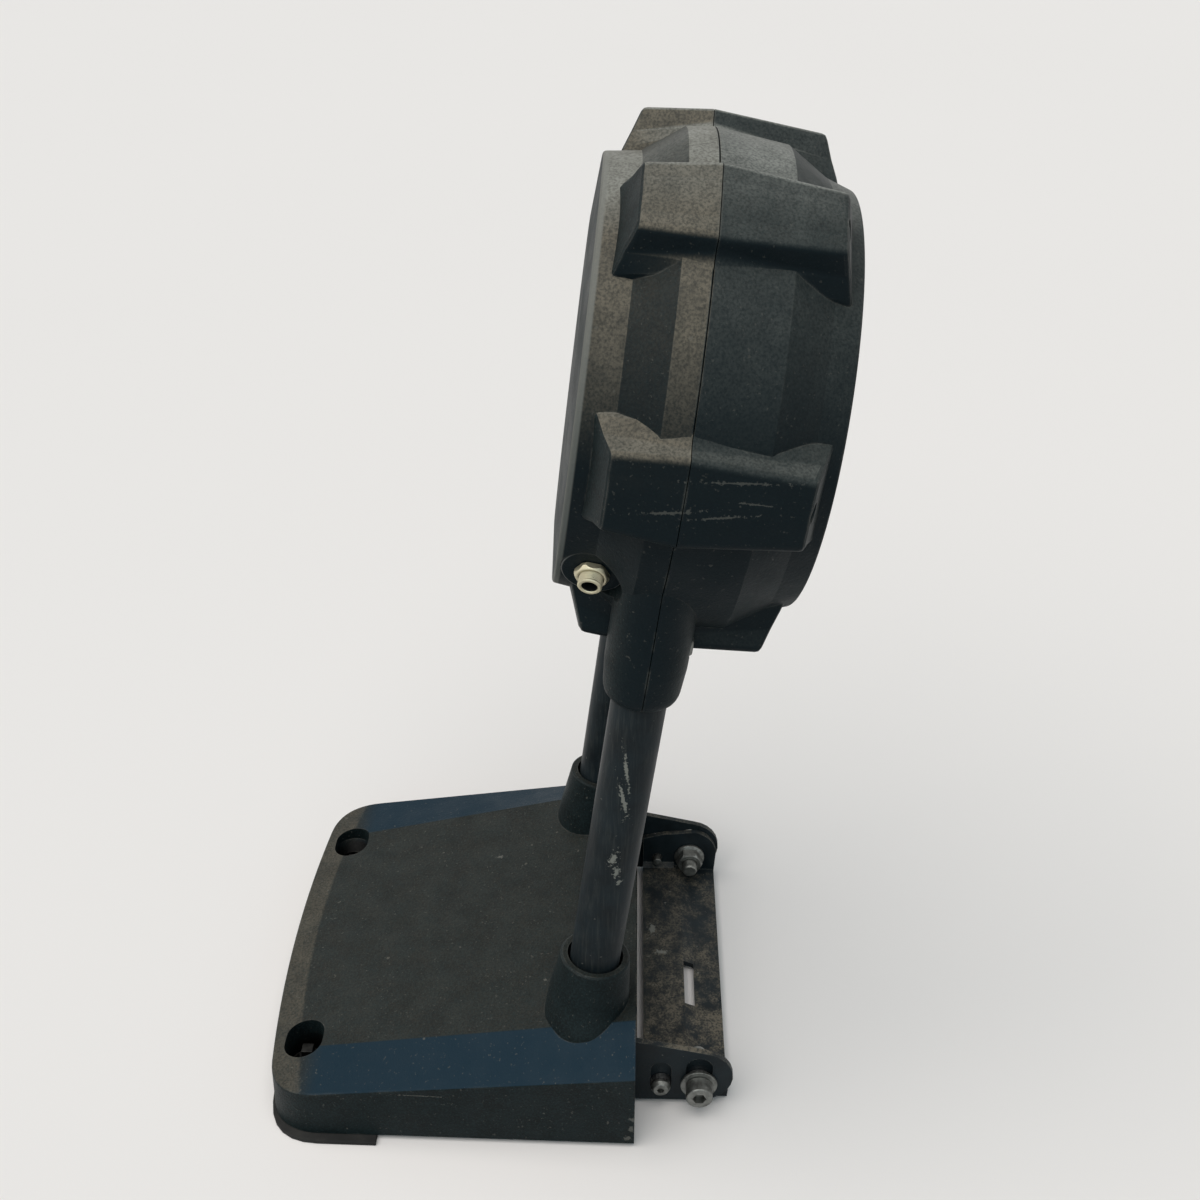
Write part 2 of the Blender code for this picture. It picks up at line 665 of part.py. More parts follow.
def tube_parts():
    """Tubes with their cross holes, a threaded plug in each lower end and the bolt that pulls it down."""
    bottom = (PLATE_Z + STEEL + GAP + TUBE_R * SIN) / COS
    seat = (PLATE_Z - GAP - BASE_BOLT_HEAD_R * SIN) / COS
    for side, tag in SIDES:
        spot = tube_frame(side)
        tube = disc(TUBE_R, bottom, TUBE_TOP, 28, inner=TUBE_R - TUBE_WALL)
        drill = placed(disc(CLAMP_R + FIT, -30.0, 30.0, 12), spot.inverted() @ HEAD @ clamp_frame(side))
        finish("tube_" + tag, placed(cut(tube, drill), spot), BLACK_PAINT)
        plug = disc(TUBE_R - TUBE_WALL - GAP, bottom + FIT, bottom + FIT + PLUG_L, 20, inner=BASE_BOLT_R + GAP)
        finish("tube_plug_" + tag, placed(plug, spot), BARE_STEEL)
        low = seat - BASE_BOLT_HEAD_H
        end = bottom + FIT + BASE_BOLT_IN
        prof = [(0, low), (BASE_BOLT_HEAD_R - 0.8, low), (BASE_BOLT_HEAD_R, low + 0.8), (BASE_BOLT_HEAD_R, seat),
                (BASE_BOLT_R, seat), (BASE_BOLT_R, end - 1.0), (0, end)]
        bolt = cut(revolve(prof, 16), prism(hexagon(KEY_BASE), low - 5.0, low + 1.2))
        finish("tube_base_bolt_" + tag, placed(bolt, spot), ZINC)


# Plan outline with a bowed front and soft front corners, from the near rear corner round to the far one
def contour(half, taper, rear, front, bow, corner, inset=0.0):
    """Points of the outline, moved inwards by an inset."""
    def side_x(y):
        return half - inset - taper * (y - rear)

    def front_y(x):
        return front - inset - bow * x * x

    rear_y = rear + inset
    y_c = front_y(side_x(front))
    x_c = side_x(y_c)
    soft = corner - inset * 0.4
    start = (side_x(y_c - soft), y_c - soft)
    end = (x_c - soft, front_y(x_c - soft))
    steps = 6
    arc = []
    for i in range(steps + 1):
        t = i / steps
        arc.append(tuple((1 - t) ** 2 * a + 2 * t * (1 - t) * c + t * t * b for a, c, b in zip(start, (x_c, y_c), end)))
    bars = 8
    run = [end[0] * (2 * i / bars - 1) for i in range(1, bars)]
    near = [(-side_x(rear_y), rear_y)] + [(-x, y) for x, y in arc]
    return near + [(x, front_y(x)) for x in run] + arc[::-1] + [(side_x(rear_y), rear_y)]


def skirt(grow=0.0, inset=0.0, rear=COVER_REAR):
    """Contour of the skirt, made larger all round or set in."""
    return contour(SKIRT_HALF + grow, SKIRT_TAPER, rear, SKIRT_FRONT + grow, SKIRT_BOW, SKIRT_CORNER, inset)


def wedge(inset, z_low, sink):
    """Wedge body through the skirt's two contours and the sloping top."""
    top = contour(TOP_HALF, TOP_TAPER, COVER_REAR, TOP_FRONT, TOP_BOW, TOP_CORNER, inset)
    low = [(x, y, z_low) for x, y in skirt(SKIRT_DRAFT, inset)]
    mid = [(x, y, SKIRT_Z + SKIRT_SLOPE * (y - COVER_REAR) - sink * 0.6) for x, y in skirt(0.0, inset)]
    high = [(x, y, TOP_Z + TOP_SLOPE * (y - COVER_REAR) - sink) for x, y in top]
    return loft([low, mid, high])


def sleeve(side):
    """Tube sleeve: round at the rim, wider and drawn outwards at its foot."""
    levels = ((SLEEVE_RIM_T, SLEEVE_RIM_R - SLEEVE_EDGE, SLEEVE_RIM_R - SLEEVE_EDGE, 0.0),
              (SLEEVE_RIM_T - SLEEVE_EDGE, SLEEVE_RIM_R, SLEEVE_RIM_R, 0.0),
              (SLEEVE_MID_T, SLEEVE_MID_R, SLEEVE_MID_R, 0.5),
              (SLEEVE_FOOT_T, SLEEVE_FOOT_AX, SLEEVE_FOOT_AY, SLEEVE_FOOT_OUT),
              (SLEEVE_LOW, SLEEVE_FOOT_AX, SLEEVE_FOOT_AY, SLEEVE_FOOT_OUT))
    loops = [[(side * out + ax * c, ay * s, t) for c, s in circle(1.0, 28)] for t, ax, ay, out in levels]
    return placed(loft(loops), tube_frame(side))


WELLS = [at(side * WELL_X, WELL_Y) for side, _ in SIDES]
BOSSES = [(at(side * BOSS_X, y), f"{row}_{tag}") for side, tag in SIDES for y, row in BOSS_YS]
DECK = PLATE_Z + STEEL + GAP


def base_cover():
    """Wedge shell with solid front corners for the wells, screw bosses, tube sleeves and slots for the plate's ears."""
    high = TOP_Z + 10.0
    around = WELL_R + WELL_WALL
    inside = [brick(side * (WELL_X - around), side * (SKIRT_HALF + PAST), WELL_Y - around, SKIRT_FRONT + PAST, DECK, high)
              for side, _ in SIDES]
    inside += [placed(disc(BOSS_R, DECK, high, 14), spot) for spot, _ in BOSSES]
    hollow = cut(wedge(WALL, COVER_Z0 - 5.0, WALL), *inside)
    cover = cut(wedge(0.0, COVER_Z0, 0.0), hollow)
    cover = add(cover, *[sleeve(side) for side, _ in SIDES])
    cover = cut(cover, *[placed(disc(SLEEVE_BORE, SLEEVE_BORE_T, SLEEVE_RIM_T + PAST, 28), tube_frame(side))
                         for side, _ in SIDES])
    cover = cut(cover, *[placed(disc(TUBE_R + FIT, 5.0, SLEEVE_BORE_T + 2.0, 28), tube_frame(side))
                         for side, _ in SIDES])
    cover = cut(cover, *[placed(disc(WELL_R, WELL_FLOOR, high, 24), spot) for spot in WELLS])
    holes = [placed(disc(ANCHOR_R + FIT, 0.0, WELL_FLOOR + 2.0, 14), spot) for spot in WELLS]
    holes += [placed(disc(COVER_SCREW_R + FIT / 2, 0.0, BOSS_HOLE, 10), spot) for spot, _ in BOSSES]
    cover = cut(cover, *holes)
    x_out = EAR_IN + STEEL + GAP
    cover = cut(cover, *[brick(side * (EAR_IN - GAP), side * x_out, COVER_REAR - 5.0, EAR_SHOULDER_Y + GAP, 0.0,
                               EAR_TOP + GAP) for side, _ in SIDES])
    cover = cut(cover, brick(-x_out, x_out, COVER_REAR - 5.0, COVER_REAR + WALL + 1.0, 0.0, DECK))
    finish("base_cover", cover, BLACK_PLASTIC)


def slot(y, z_low, z_high, radius, x0, x1):
    """Upright slot cutter with round ends between two centres."""
    half = [polar(radius, 180.0 * i / 8) for i in range(9)]
    return upright([(y + p, z_high + q) for p, q in half] + [(y - p, z_low - q) for p, q in half], x0, x1)


def base_plate():
    """Steel floor plate with two bent-up ears, slotted for the big bolts and the guide screws."""
    floor = prism(skirt(0.0, PLATE_INSET, PLATE_REAR - PLATE_INSET), PLATE_Z, PLATE_Z + STEEL)
    floor = cut(floor, *[brick(side * (EAR_IN + STEEL), side * SKIRT_HALF * 1.2, PLATE_REAR - 4.0, EAR_TAIL_Y + 2.0,
                               0.0, DECK) for side, _ in SIDES])
    end = [polar(EAR_END_R, 82.0 - 172.0 * i / 12) for i in range(13)]
    outline = [(EAR_TAIL_Y, PLATE_Z), (EAR_TAIL_Y, EAR_TAIL_Z), (EAR_SHOULDER_Y, EAR_TAIL_Z), (EAR_SHOULDER_Y, EAR_TOP)]
    outline += [(EAR_BOLT_Y - p, EAR_END_Z + q) for p, q in end]
    floor = add(floor, *[upright(outline, side * EAR_IN, side * (EAR_IN + STEEL)) for side, _ in SIDES])
    cuts = []
    for side, _ in SIDES:
        reach = (side * (EAR_IN - 2.0), side * (EAR_IN + STEEL + 2.0))
        cuts.append(slot(EAR_BOLT_Y, EAR_BOLT_Z - FIT, EAR_BOLT_Z + TRAVEL + FIT, BUSH_R + GAP, *reach))
        cuts.append(slot(PIN_Y, PIN_Z - FIT, PIN_Z + TRAVEL + FIT, COLLAR_R + GAP, *reach))
        cuts.append(placed(disc(BASE_BOLT_R + FIT, -2.0, 12.0, 14), tube_frame(side)))
    cuts += [placed(disc(ANCHOR_R + FIT, 0.0, 12.0, 14), spot) for spot in WELLS]
    cuts += [placed(disc(COVER_SCREW_R + FIT, 0.0, 12.0, 10), spot) for spot, _ in BOSSES]
    finish("base_plate", cut(floor, *cuts), BLACK_PAINT)


IN1 = EAR_IN - GAP
IN0 = IN1 - STEEL
OUT = EAR_IN + STEEL


def pedal_plate():
    """Bent steel plate between the ears: flat, step with its window, lip, and two inner ears."""
    bend = [(WEB_FRONT, WEB_Z), (WEB_STEP, WEB_Z), (WEB_LIP, WEB_Z - WEB_DROP), (WEB_REAR, WEB_Z - WEB_DROP)]
    under = [(y, z - STEEL) for y, z in bend][::-1]
    web = upright(bend + under, -IN0 - 1.0, IN0 + 1.0)
    end = [polar(EAR2_END_R, 80.0 - 80.0 * i / 7) for i in range(8)]
    outline = [(WEB_FRONT, EAR2_FRONT_Z), (PIN_Y - 4.0, EAR2_SHOULDER_Z)]
    outline += [(EAR_BOLT_Y - p, EAR2_END_Z + q) for p, q in end]
    web = add(web, *[upright(outline + under, side * IN0, side * IN1) for side, _ in SIDES])
    corners = []
    for side, _ in SIDES:
        x_wall = side * (IN0 + 0.5)
        foot = [(x_wall, WEB_Z - 0.5), (x_wall, WEB_Z + BEND), (side * (IN0 - BEND), WEB_Z - 0.5)]
        corners.append(loft([[(x, y, z) for x, z in foot] for y in (WEB_FRONT, EAR_BOLT_Y + FLANGE_R + GAP)]))
    web = add(web, *corners)
    cuts = [brick(WINDOW_X0, WINDOW_X1, WEB_LIP + WINDOW_EDGE, WEB_STEP - WINDOW_EDGE, -5.0, 20.0)]
    for side, _ in SIDES:
        reach = (side * (IN0 - 2.0), side * (IN1 + 2.0))
        cuts.append(upright(circle(BOLT_R + FIT, 20, EAR_BOLT_Y, EAR_BOLT_Z), *reach))
        cuts.append(upright(circle(PIN_R + FIT, 16, PIN_Y, PIN_Z), *reach))
    finish("pedal_plate", cut(web, *cuts), BLACK_PAINT, (0.0, EAR_BOLT_Y, EAR_BOLT_Z))


def big_bolt_set(side, tag):
    """Socket head bolt, washer, bush in the ear's slot and flange nut inside."""
    frame = ear_frame(side, EAR_BOLT_Y, EAR_BOLT_Z)
    origin = (0.0, EAR_BOLT_Y, EAR_BOLT_Z)
    seat = OUT + GAP + WASHER_T + GAP
    top = seat + BOLT_HEAD_H
    tip = IN0 - BOLT_PAST
    prof = [(0, tip), (BOLT_R - 0.8, tip), (BOLT_R, tip + 0.8), (BOLT_R, seat), (BOLT_HEAD_R, seat),
            (BOLT_HEAD_R, top - 0.6), (BOLT_HEAD_R - 0.6, top), (0, top)]
    bolt = cut(revolve(prof, 24), prism(hexagon(BOLT_KEY), top - BOLT_KEY_D, top + 5.0))
    finish("plate_bolt_" + tag, placed(bolt, frame), ZINC, origin)
    washer = disc(WASHER_R, OUT + GAP, OUT + GAP + WASHER_T, 24, inner=BOLT_R + GAP)
    finish("bolt_washer_" + tag, placed(washer, frame), ZINC, origin)
    bush = disc(BUSH_R, IN1 + GAP, OUT, 20, inner=BOLT_R + GAP)
    finish("slot_bush_" + tag, placed(bush, frame), BARE_STEEL, origin)
    face = IN0 - GAP
    nut = revolve([(FLANGE_R, face), (FLANGE_R, face - FLANGE_T), (NUT_AF * 0.55, face - FLANGE_T - 0.8),
                   (0, face - FLANGE_T - 0.8), (0, face)], 20)
    nut = add(nut, prism(hexagon(NUT_AF), face - FLANGE_T - NUT_H, face - FLANGE_T))
    nut = cut(nut, disc(BOLT_R + GAP, face - 20.0, face + 2.0, 20))
    finish("flange_nut_" + tag, placed(nut, frame), ZINC, origin)


def guide_set(side, tag):
    """Small screw that guides the inner ear, and the collar it clamps in the outer ear's slot."""
    frame = ear_frame(side, PIN_Y, PIN_Z)
    origin = (0.0, PIN_Y, PIN_Z)
    collar_top = OUT + GAP
    seat = collar_top + GAP
    top = seat + PIN_HEAD_H
    prof = [(0, IN0 - PIN_PAST), (PIN_R, IN0 - PIN_PAST), (PIN_R, seat), (PIN_HEAD_R, seat),
            (PIN_HEAD_R, seat + 1.4), (PIN_HEAD_R - 1.2, top), (0, top)]
    screw = cut(revolve(prof, 18), prism(hexagon(KEY_SMALL), top - 2.0, top + 5.0))
    finish("guide_screw_" + tag, placed(screw, frame), ZINC, origin)
    collar = disc(COLLAR_R, IN1 + GAP, collar_top, 18, inner=PIN_R + GAP)
    finish("guide_collar_" + tag, placed(collar, frame), BARE_STEEL, origin)


def anchor_bolt(side, tag):
    """Pointed bolt with a collar and a square key head, standing in its well."""
    key_low = ANCHOR_TOP - ANCHOR_KEY_H
    collar_low = key_low - 1.4
    prof = [(0, ANCHOR_TIP), (0.7, ANCHOR_TIP), (ANCHOR_R, ANCHOR_TIP + ANCHOR_POINT), (ANCHOR_R, collar_low),
            (ANCHOR_R + ANCHOR_COLLAR, collar_low), (ANCHOR_R + ANCHOR_COLLAR, key_low), (0, key_low)]
    h = ANCHOR_KEY / 2
    bolt = add(revolve(prof, 16), brick(-h, h, -h, h, key_low - 0.4, ANCHOR_TOP))
    spot = (side * WELL_X, WELL_Y, 0.0)
    finish("anchor_bolt_" + tag, placed(bolt, at(*spot)), ZINC, spot)


def feet():
    """Rubber strip under the front rim of the cover, and two round feet under the plate."""
    edge = SKIRT_DRAFT + FOOT_OUT
    outer = skirt(edge, 0.0, FOOT_BACK)
    inner = skirt(edge, FOOT_W, FOOT_BACK)
    inner[0] = (inner[0][0], FOOT_BACK)
    inner[-1] = (inner[-1][0], FOOT_BACK)
    finish("foot_strip", prism(outer + inner[::-1], 0.0, FOOT_T), RUBBER)
    high = PLATE_Z - GAP
    prof = [(0, 0), (REAR_FOOT_R - 1.0, 0), (REAR_FOOT_R, 1.0), (REAR_FOOT_R, high), (0, high)]
    for side, tag in SIDES:
        finish("rear_foot_" + tag, placed(revolve(prof, 20), at(side * REAR_FOOT_X, REAR_FOOT_Y)), RUBBER)


def cover_screws():
    """Screws from under the plate into the cover's bosses."""
    seat = PLATE_Z - GAP
    low = seat - COVER_SCREW_HEAD_H
    prof = [(0, low), (COVER_SCREW_HEAD, low + 0.6), (COVER_SCREW_HEAD, seat), (COVER_SCREW_R, seat),
            (COVER_SCREW_R, COVER_SCREW_TIP - 1.5), (0, COVER_SCREW_TIP)]
    for spot, tag in BOSSES:
        finish("cover_screw_" + tag, placed(revolve(prof, 12), spot), ZINC)


housing_audience_half()
housing_drummer_half()
sensor_leads(strike_parts(), jack_parts())
housing_fasteners()
tube_parts()
base_cover()
base_plate()
pedal_plate()
for hand, hand_name in SIDES:
    big_bolt_set(hand, hand_name)
    guide_set(hand, hand_name)
    anchor_bolt(hand, hand_name)
feet()
cover_screws()
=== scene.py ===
"""Electronic kick drum pad: fine surfaces, finishes, stage and camera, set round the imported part."""
import json
import math

import bpy
from mathutils import Matrix, Vector


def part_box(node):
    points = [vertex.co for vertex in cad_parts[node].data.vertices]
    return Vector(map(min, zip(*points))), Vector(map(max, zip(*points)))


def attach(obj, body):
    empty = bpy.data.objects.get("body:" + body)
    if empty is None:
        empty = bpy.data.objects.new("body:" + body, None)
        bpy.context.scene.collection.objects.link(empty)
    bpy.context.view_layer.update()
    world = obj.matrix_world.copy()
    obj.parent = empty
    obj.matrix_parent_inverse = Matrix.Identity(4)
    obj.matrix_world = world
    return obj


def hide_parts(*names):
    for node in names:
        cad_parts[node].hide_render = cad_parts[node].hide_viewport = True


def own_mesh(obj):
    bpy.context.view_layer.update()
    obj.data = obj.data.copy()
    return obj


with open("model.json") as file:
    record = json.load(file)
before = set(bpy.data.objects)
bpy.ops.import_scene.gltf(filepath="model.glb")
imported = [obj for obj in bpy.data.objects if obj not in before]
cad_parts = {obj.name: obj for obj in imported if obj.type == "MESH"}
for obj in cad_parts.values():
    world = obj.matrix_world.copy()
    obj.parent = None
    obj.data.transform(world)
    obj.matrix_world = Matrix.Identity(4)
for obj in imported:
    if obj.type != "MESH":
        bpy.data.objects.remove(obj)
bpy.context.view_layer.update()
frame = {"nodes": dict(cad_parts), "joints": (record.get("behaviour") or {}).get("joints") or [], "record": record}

bl_info = {
    "name": "Electronic kick drum pad",
    "version": (1, 0, 0),
    "blender": (4, 5, 0),
    "location": "3D View > Sidebar > Drum Pad",
    "description": "Dresses the packed kick drum pad: moulded housing, base cover, steelwork and cloth",
    "category": "Object",
}

# Lengths in the functions below are in millimetres and are turned into metres once
MM = 0.001
SIDES = ((-1, "near"), (1, "far"))

# Head: the turned outline's distances along the axis and radii, as in the solids
PLATE_MIDDLE = 43.6
R_PART = 100.9
PARTING = 0.15
# Set-back that keeps the halves' joined faces out of one plane
STEP = 0.012
AUDIENCE_OUTLINE = ((0.0, 43.8, 0.0), (62.3, 43.8, 6.0), (86.4, 41.9, 1.7), (88.4, 27.2, 1.0),
                    (99.5, 11.1, 0.8), (R_PART, PARTING, 0.35))
AUDIENCE_INSIDE = ((97.6, PARTING), (97.6, -3.0), (95.0, -3.0), (95.0, 3.0), (96.5, 9.6), (85.4, 25.7),
                   (83.4, 38.9), (62.3, 40.8), (0.0, 40.8))
DRUMMER_OUTLINE = ((R_PART, -PARTING, 0.35), (98.2, -29.2, 0.8), (88.2, -45.9, 1.0), (84.6, -57.2, 1.6),
                   (77.0, -57.2, 1.0))
DRUMMER_INSIDE = ((77.0, -44.5), (83.2, -44.5), (83.2, -40.0), (95.2, -27.7), (97.9, -PARTING))

# Lug halves: side of the parting line, end at the top and at the foot, half width and height of the end
AUDIENCE_LUG = (1, 27.9, 33.8, 15.6, 105.1)
DRUMMER_LUG = (-1, 46.1, 51.3, 14.3, 105.1)
LUG_COUNT = 6
LUG_ROOT = 82.0
LUG_SOFT = 1.9
# Radii where the foot's height is taken and where a lug's middle lies
LUG_FOOT = 88.0
LUG_MIDDLE = 93.0

# Wells for the lug screws and the clamp screws: radii and heights along the head's axis
LUG_SCREW = 100.3
LUG_SCREW_WELL = ((0.0, -90.0), (4.0, -90.0), (4.0, -30.0), (2.4, -30.0), (2.4, 2.0), (0.0, 2.0))
CLAMP_SCREW = 262.0
CLAMP_SCREW_WELL = ((0.0, -60.0), (5.0, -60.0), (5.0, -14.0), (2.9, -14.0), (2.9, 2.0), (0.0, 2.0))

# Jack: where it stands in the head's plane, its turn and tilt in degrees, distance out, and height
JACK_SPOT = -35.5
JACK_TURN = -25.0
JACK_TILT = 5.0
JACK_OUT = 87.0
JACK_HEIGHT = 27.0
# Radii of the jack's cup, pocket, hole and ring, its nut across flats and corners, thread and bore
CUP_R = 15.1
POCKET_R = 12.9
HOLE_R = 5.3
RING_R = 12.6
JACK_NUT = 13.0
JACK_NUT_R = 7.12
THREAD_R = 4.9
THREAD_PITCH = 0.75
THREAD_RIBS = 6
BORE_R = 3.2

# Marks seen on the real pad: place, size (both in millimetres) and turn about X in degrees
TUBE_MARKS = (((-83.0, -45.6, 203.0), (3.0, 0.7, 9.0), -6.0), ((-83.0, -44.4, 187.0), (3.0, 0.9, 8.0), -12.0),
              ((-83.0, -40.3, 154.0), (3.0, 1.6, 3.4), 20.0), ((-83.0, -41.8, 146.0), (3.0, 1.3, 3.0), 0.0),
              ((-82.6, -42.6, 140.0), (3.0, 1.0, 1.6), 0.0))
COVER_MARKS = (((-55.3, -6.7, 51.0), (0.9, 0.9, 1.5), 0.0), ((-114.8, -51.0, 19.4), (1.5, 1.4, 1.2), 0.0),
               ((-114.9, -50.0, 13.0), (1.5, 1.2, 2.0), 0.0), ((-115.0, -48.6, 6.6), (1.5, 1.8, 1.2), 0.0),
               ((-111.5, 50.0, 30.7), (2.0, 10.0, 0.25), 1.0), ((43.3, 23.2, 45.3), (0.8, 2.0, 1.0), 0.0))
HEAD_MARKS = (((-106.5, -86.0, 348.2), (1.5, 15.0, 0.5), 2.0),
              ((-107.0, -60.0, 336.8), (1.5, 11.0, 0.6), -5.0),
              ((-106.8, -78.0, 334.8), (1.5, 9.0, 0.5), -3.0),
              ((-106.2, -90.0, 340.0), (1.5, 6.0, 0.35), 8.0))
PLATE_MARKS = (((28.0, -61.0, 7.4), (3.4, 1.8, 1.5), 30.0), ((10.0, -66.0, 7.4), (1.5, 3.0, 1.5), 0.0))

# Tubes and their sockets, heights along the tube from the floor
TUBE_R = 11.8
TUBE_TOP = 312.0
SOCKET_R = 17.2
SOCKET_END = 235.0
SOCKET_TOP = 320.0
TUBE_PLAY = 0.3
TUBE_WALL = 1.6

# Base cover, with lengths measured from its rear edge
SKIRT_HALF = 114.2
SKIRT_TAPER = 0.027
SKIRT_DRAFT = 1.0
SKIRT_Z = 45.9
SKIRT_SLOPE = -0.113
SKIRT_FRONT = 181.1
SKIRT_BOW = 0.00064
SKIRT_CORNER = 23.0
COVER_LOW = 2.8
TOP_HALF = 89.2
TOP_TAPER = 0.055
TOP_Z = 59.6
TOP_SLOPE = -0.192
TOP_FRONT = 169.9
TOP_BOW = 0.00095
TOP_CORNER = 13.0
COVER_WALL = 3.0
# Height of the cover's floor, just over the base plate
DECK = 6.9
# Slots for the upright ears: from the middle out, half length and top
EAR_SLOT = (84.7, 88.3)
EAR_SLOT_HALF = 5.0
EAR_SLOT_TOP = 44.8
# Solid left round a well in the front corners
WELL_WALL = 2.6
# Sleeves: height up the tube, half widths across and along, and how far each ring is drawn outwards
SLEEVE_RINGS = ((34.0, 22.9, 20.2, 2.8), (50.0, 22.9, 20.2, 2.8), (63.0, 19.3, 19.3, 0.5),
                (85.0, 16.5, 16.5, 0.0), (85.7, 15.6, 15.6, 0.0))
# Bores for the tubes, wide at the rim and close below: radius, bottom and top
SLEEVE_BORES = ((13.2, 72.0, 110.0), (12.2, 5.0, 75.0))
# Radii of the screw bosses, their pilot holes and the holes for the anchor bolts
BOSS_R = 4.5
PILOT_R = 1.6
ANCHOR_HOLE_R = 3.4

# Strike pad: radius, and its back and face along the head's axis
PAD_RADIUS = 76.3
PAD_BACK = -53.4
PAD_FACE = -56.4
PAD_SWELL = 0.8

# Foam behind the pad and foam ring of the sensor: radius, face and back along the head's axis
FOAM_RADIUS = 75.0
FOAM_FACE = -53.1
FOAM_BACK = -44.5
CUSHION_RADIUS = 17.5
CUSHION_FACE = -42.7
CUSHION_BACK = -39.0

# Fasteners of the pedal plate: radii, sizes across flats and distances out from the pad's middle
BOLT_R = 4.0
BOLT_END = 67.4
BOLT_HEAD_R = 6.5
BOLT_HEAD = (90.2, 98.2)
BOLT_KEY = 6.0
WASHER_R = 9.0
WASHER = (88.3, 89.9)
CLEAR_R = 4.3
NUT_ACROSS = 13.0
NUT_END = 73.4
FLANGE_R = 8.6
FLANGE = (79.0, 81.4)
SCREW_R = 2.4
SCREW_END = 76.7
SCREW_HEAD_R = 4.8
SCREW_HEAD = (88.6, 92.0)
SCREW_KEY = 3.2

# Fixed colours of dust, lint and wear; the head's and cover's wear colours and the rim colour also serve as
# painted highlight, and the well colour is painted shade
PALE_FILM = (0.28, 0.28, 0.255, 1.0)
RIM_DUST_AND_HIGHLIGHT = (0.2, 0.195, 0.175, 1.0)
LINT = (0.15, 0.14, 0.12, 1.0)
HEAD_WEAR_AND_HIGHLIGHT = (0.13, 0.125, 0.11, 1.0)
COVER_WEAR_AND_HIGHLIGHT = (0.17, 0.16, 0.14, 1.0)
STEEL_WORN = (0.24, 0.23, 0.2, 1.0)
PAINTED_WELL_SHADE = (0.0008, 0.0008, 0.0008, 1.0)

# Camera, in metres and degrees, with its shift as a share of the picture
CAMERA_PLACE = (-0.58151, -0.04505, 0.58472)
CAMERA_TURN = (55.0879, -0.5863, -89.6058)
CAMERA_LENS = 44.821
CAMERA_SHIFT = (-0.02203, 0.08687)


def middle(node):
    """Middle of a node's box at rest."""
    low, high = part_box(node)
    return (low + high) / 2


def axes(origin, x_axis, z_axis):
    """Rigid frame from an origin, an x axis and a z axis square to it."""
    x = Vector(x_axis).normalized()
    z = Vector(z_axis).normalized()
    place = Matrix((x, z.cross(x), z)).transposed().to_4x4()
    place.translation = Vector(origin)
    return place


STRIKE = next(joint for joint in frame["joints"] if joint["name"] == "strike_travel")
AXIS = Vector(STRIKE["axis"]).normalized()
HEAD = axes(middle("sensor_plate") + AXIS * PLATE_MIDDLE * MM, (-1, 0, 0), AXIS)
UP_TUBE = Vector((0.0, -AXIS.z, AXIS.y))
BASE = Matrix.Translation((0.0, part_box("base_cover")[0].y, 0.0))


def tube_place(tag):
    """Frame on a tube's axis at the floor, z up the tube."""
    plug = middle("tube_plug_" + tag)
    return axes(plug - UP_TUBE * (plug.z / UP_TUBE.z), (1, 0, 0), UP_TUBE)


def length(name, description, default):
    """A length that a user can change."""
    return bpy.props.FloatProperty(name=name, description=description, default=default, unit='LENGTH')


def tint(name, description, *default):
    """A colour that a user can change."""
    return bpy.props.FloatVectorProperty(name=name, description=description, subtype='COLOR', size=4,
                                         default=default + (1.0,))


def power(name, description, default):
    """A strength of light that a user can change."""
    return bpy.props.FloatProperty(name=name, description=description, default=default, min=0.0)


class HousingSizes(bpy.types.PropertyGroup):
    """Sizes of the moulded housing's fine surface."""
    turns: bpy.props.IntProperty(name="Turns", description="Faces round the housing", default=180, min=48)
    lug_half: length("Lug half width", "Half width of a lug at the parting line", 0.0176)
    lug_ridge: length("Lug ridge", "Radius of a lug's long ridges", 0.0034)
    lug_cove: length("Lug cove", "Radius of the hollow curve at a lug's foot", 0.007)
    lug_top: length("Lug height", "Distance of a lug's face from the axis", 0.1074)


class CoverSizes(bpy.types.PropertyGroup):
    """Sizes of the base cover's fine surface."""
    ridge: length("Ridge radius", "Radius of the cover's long ridges", 0.0014)
    well_radius: length("Well radius", "Radius of the corner wells", 0.0095)
    well_reach: length("Well reach", "How far the wells' mouths run outwards", 0.005)


class Finishes(bpy.types.PropertyGroup):
    """Colours of the finishes."""
    plastic: tint("Plastic", "Moulded black plastic", 0.0036, 0.0062, 0.0066)
    dust: tint("Dust", "Dust that lies on upper surfaces", 0.145, 0.124, 0.094)
    film: tint("Film", "Grey film on the drummer's side", 0.06, 0.066, 0.062)
    # Painted sheen: cool tints the head's faces that turn to either side bluish, standing in for reflected cool
    # light
    cool: tint("Cool", "Cool tone of the head's side faces", 0.0004, 0.0052, 0.008)
    # Painted reflection: slope tints the cover's side slopes bluish, standing in for reflected cool light
    slope: tint("Slope", "Cool tone of the base's side slopes", 0.003, 0.018, 0.032)
    paint: tint("Paint", "Black paint on the steel", 0.008, 0.0115, 0.0135)
    zinc: tint("Zinc", "Dull plated screws", 0.225, 0.232, 0.22)
    nickel: tint("Nickel", "Warm plated nut and bushing", 0.62, 0.575, 0.42)
    cloth: tint("Cloth", "Woven cloth of the strike pad", 0.022, 0.022, 0.024)


class StageSettings(bpy.types.PropertyGroup):
    """Floor and light."""
    floor: tint("Floor", "Pale floor", 0.875, 0.82, 0.795)
    key: power("Key", "Strength of the broad lamp above", 2.5)
    side: power("Side", "Strength of the lamp on the audience's side", 0.5)
    fill: power("Fill", "Strength of the cool lamp by the camera", 0.35)
    sky: power("Sky", "Strength of the light from all round", 0.2)


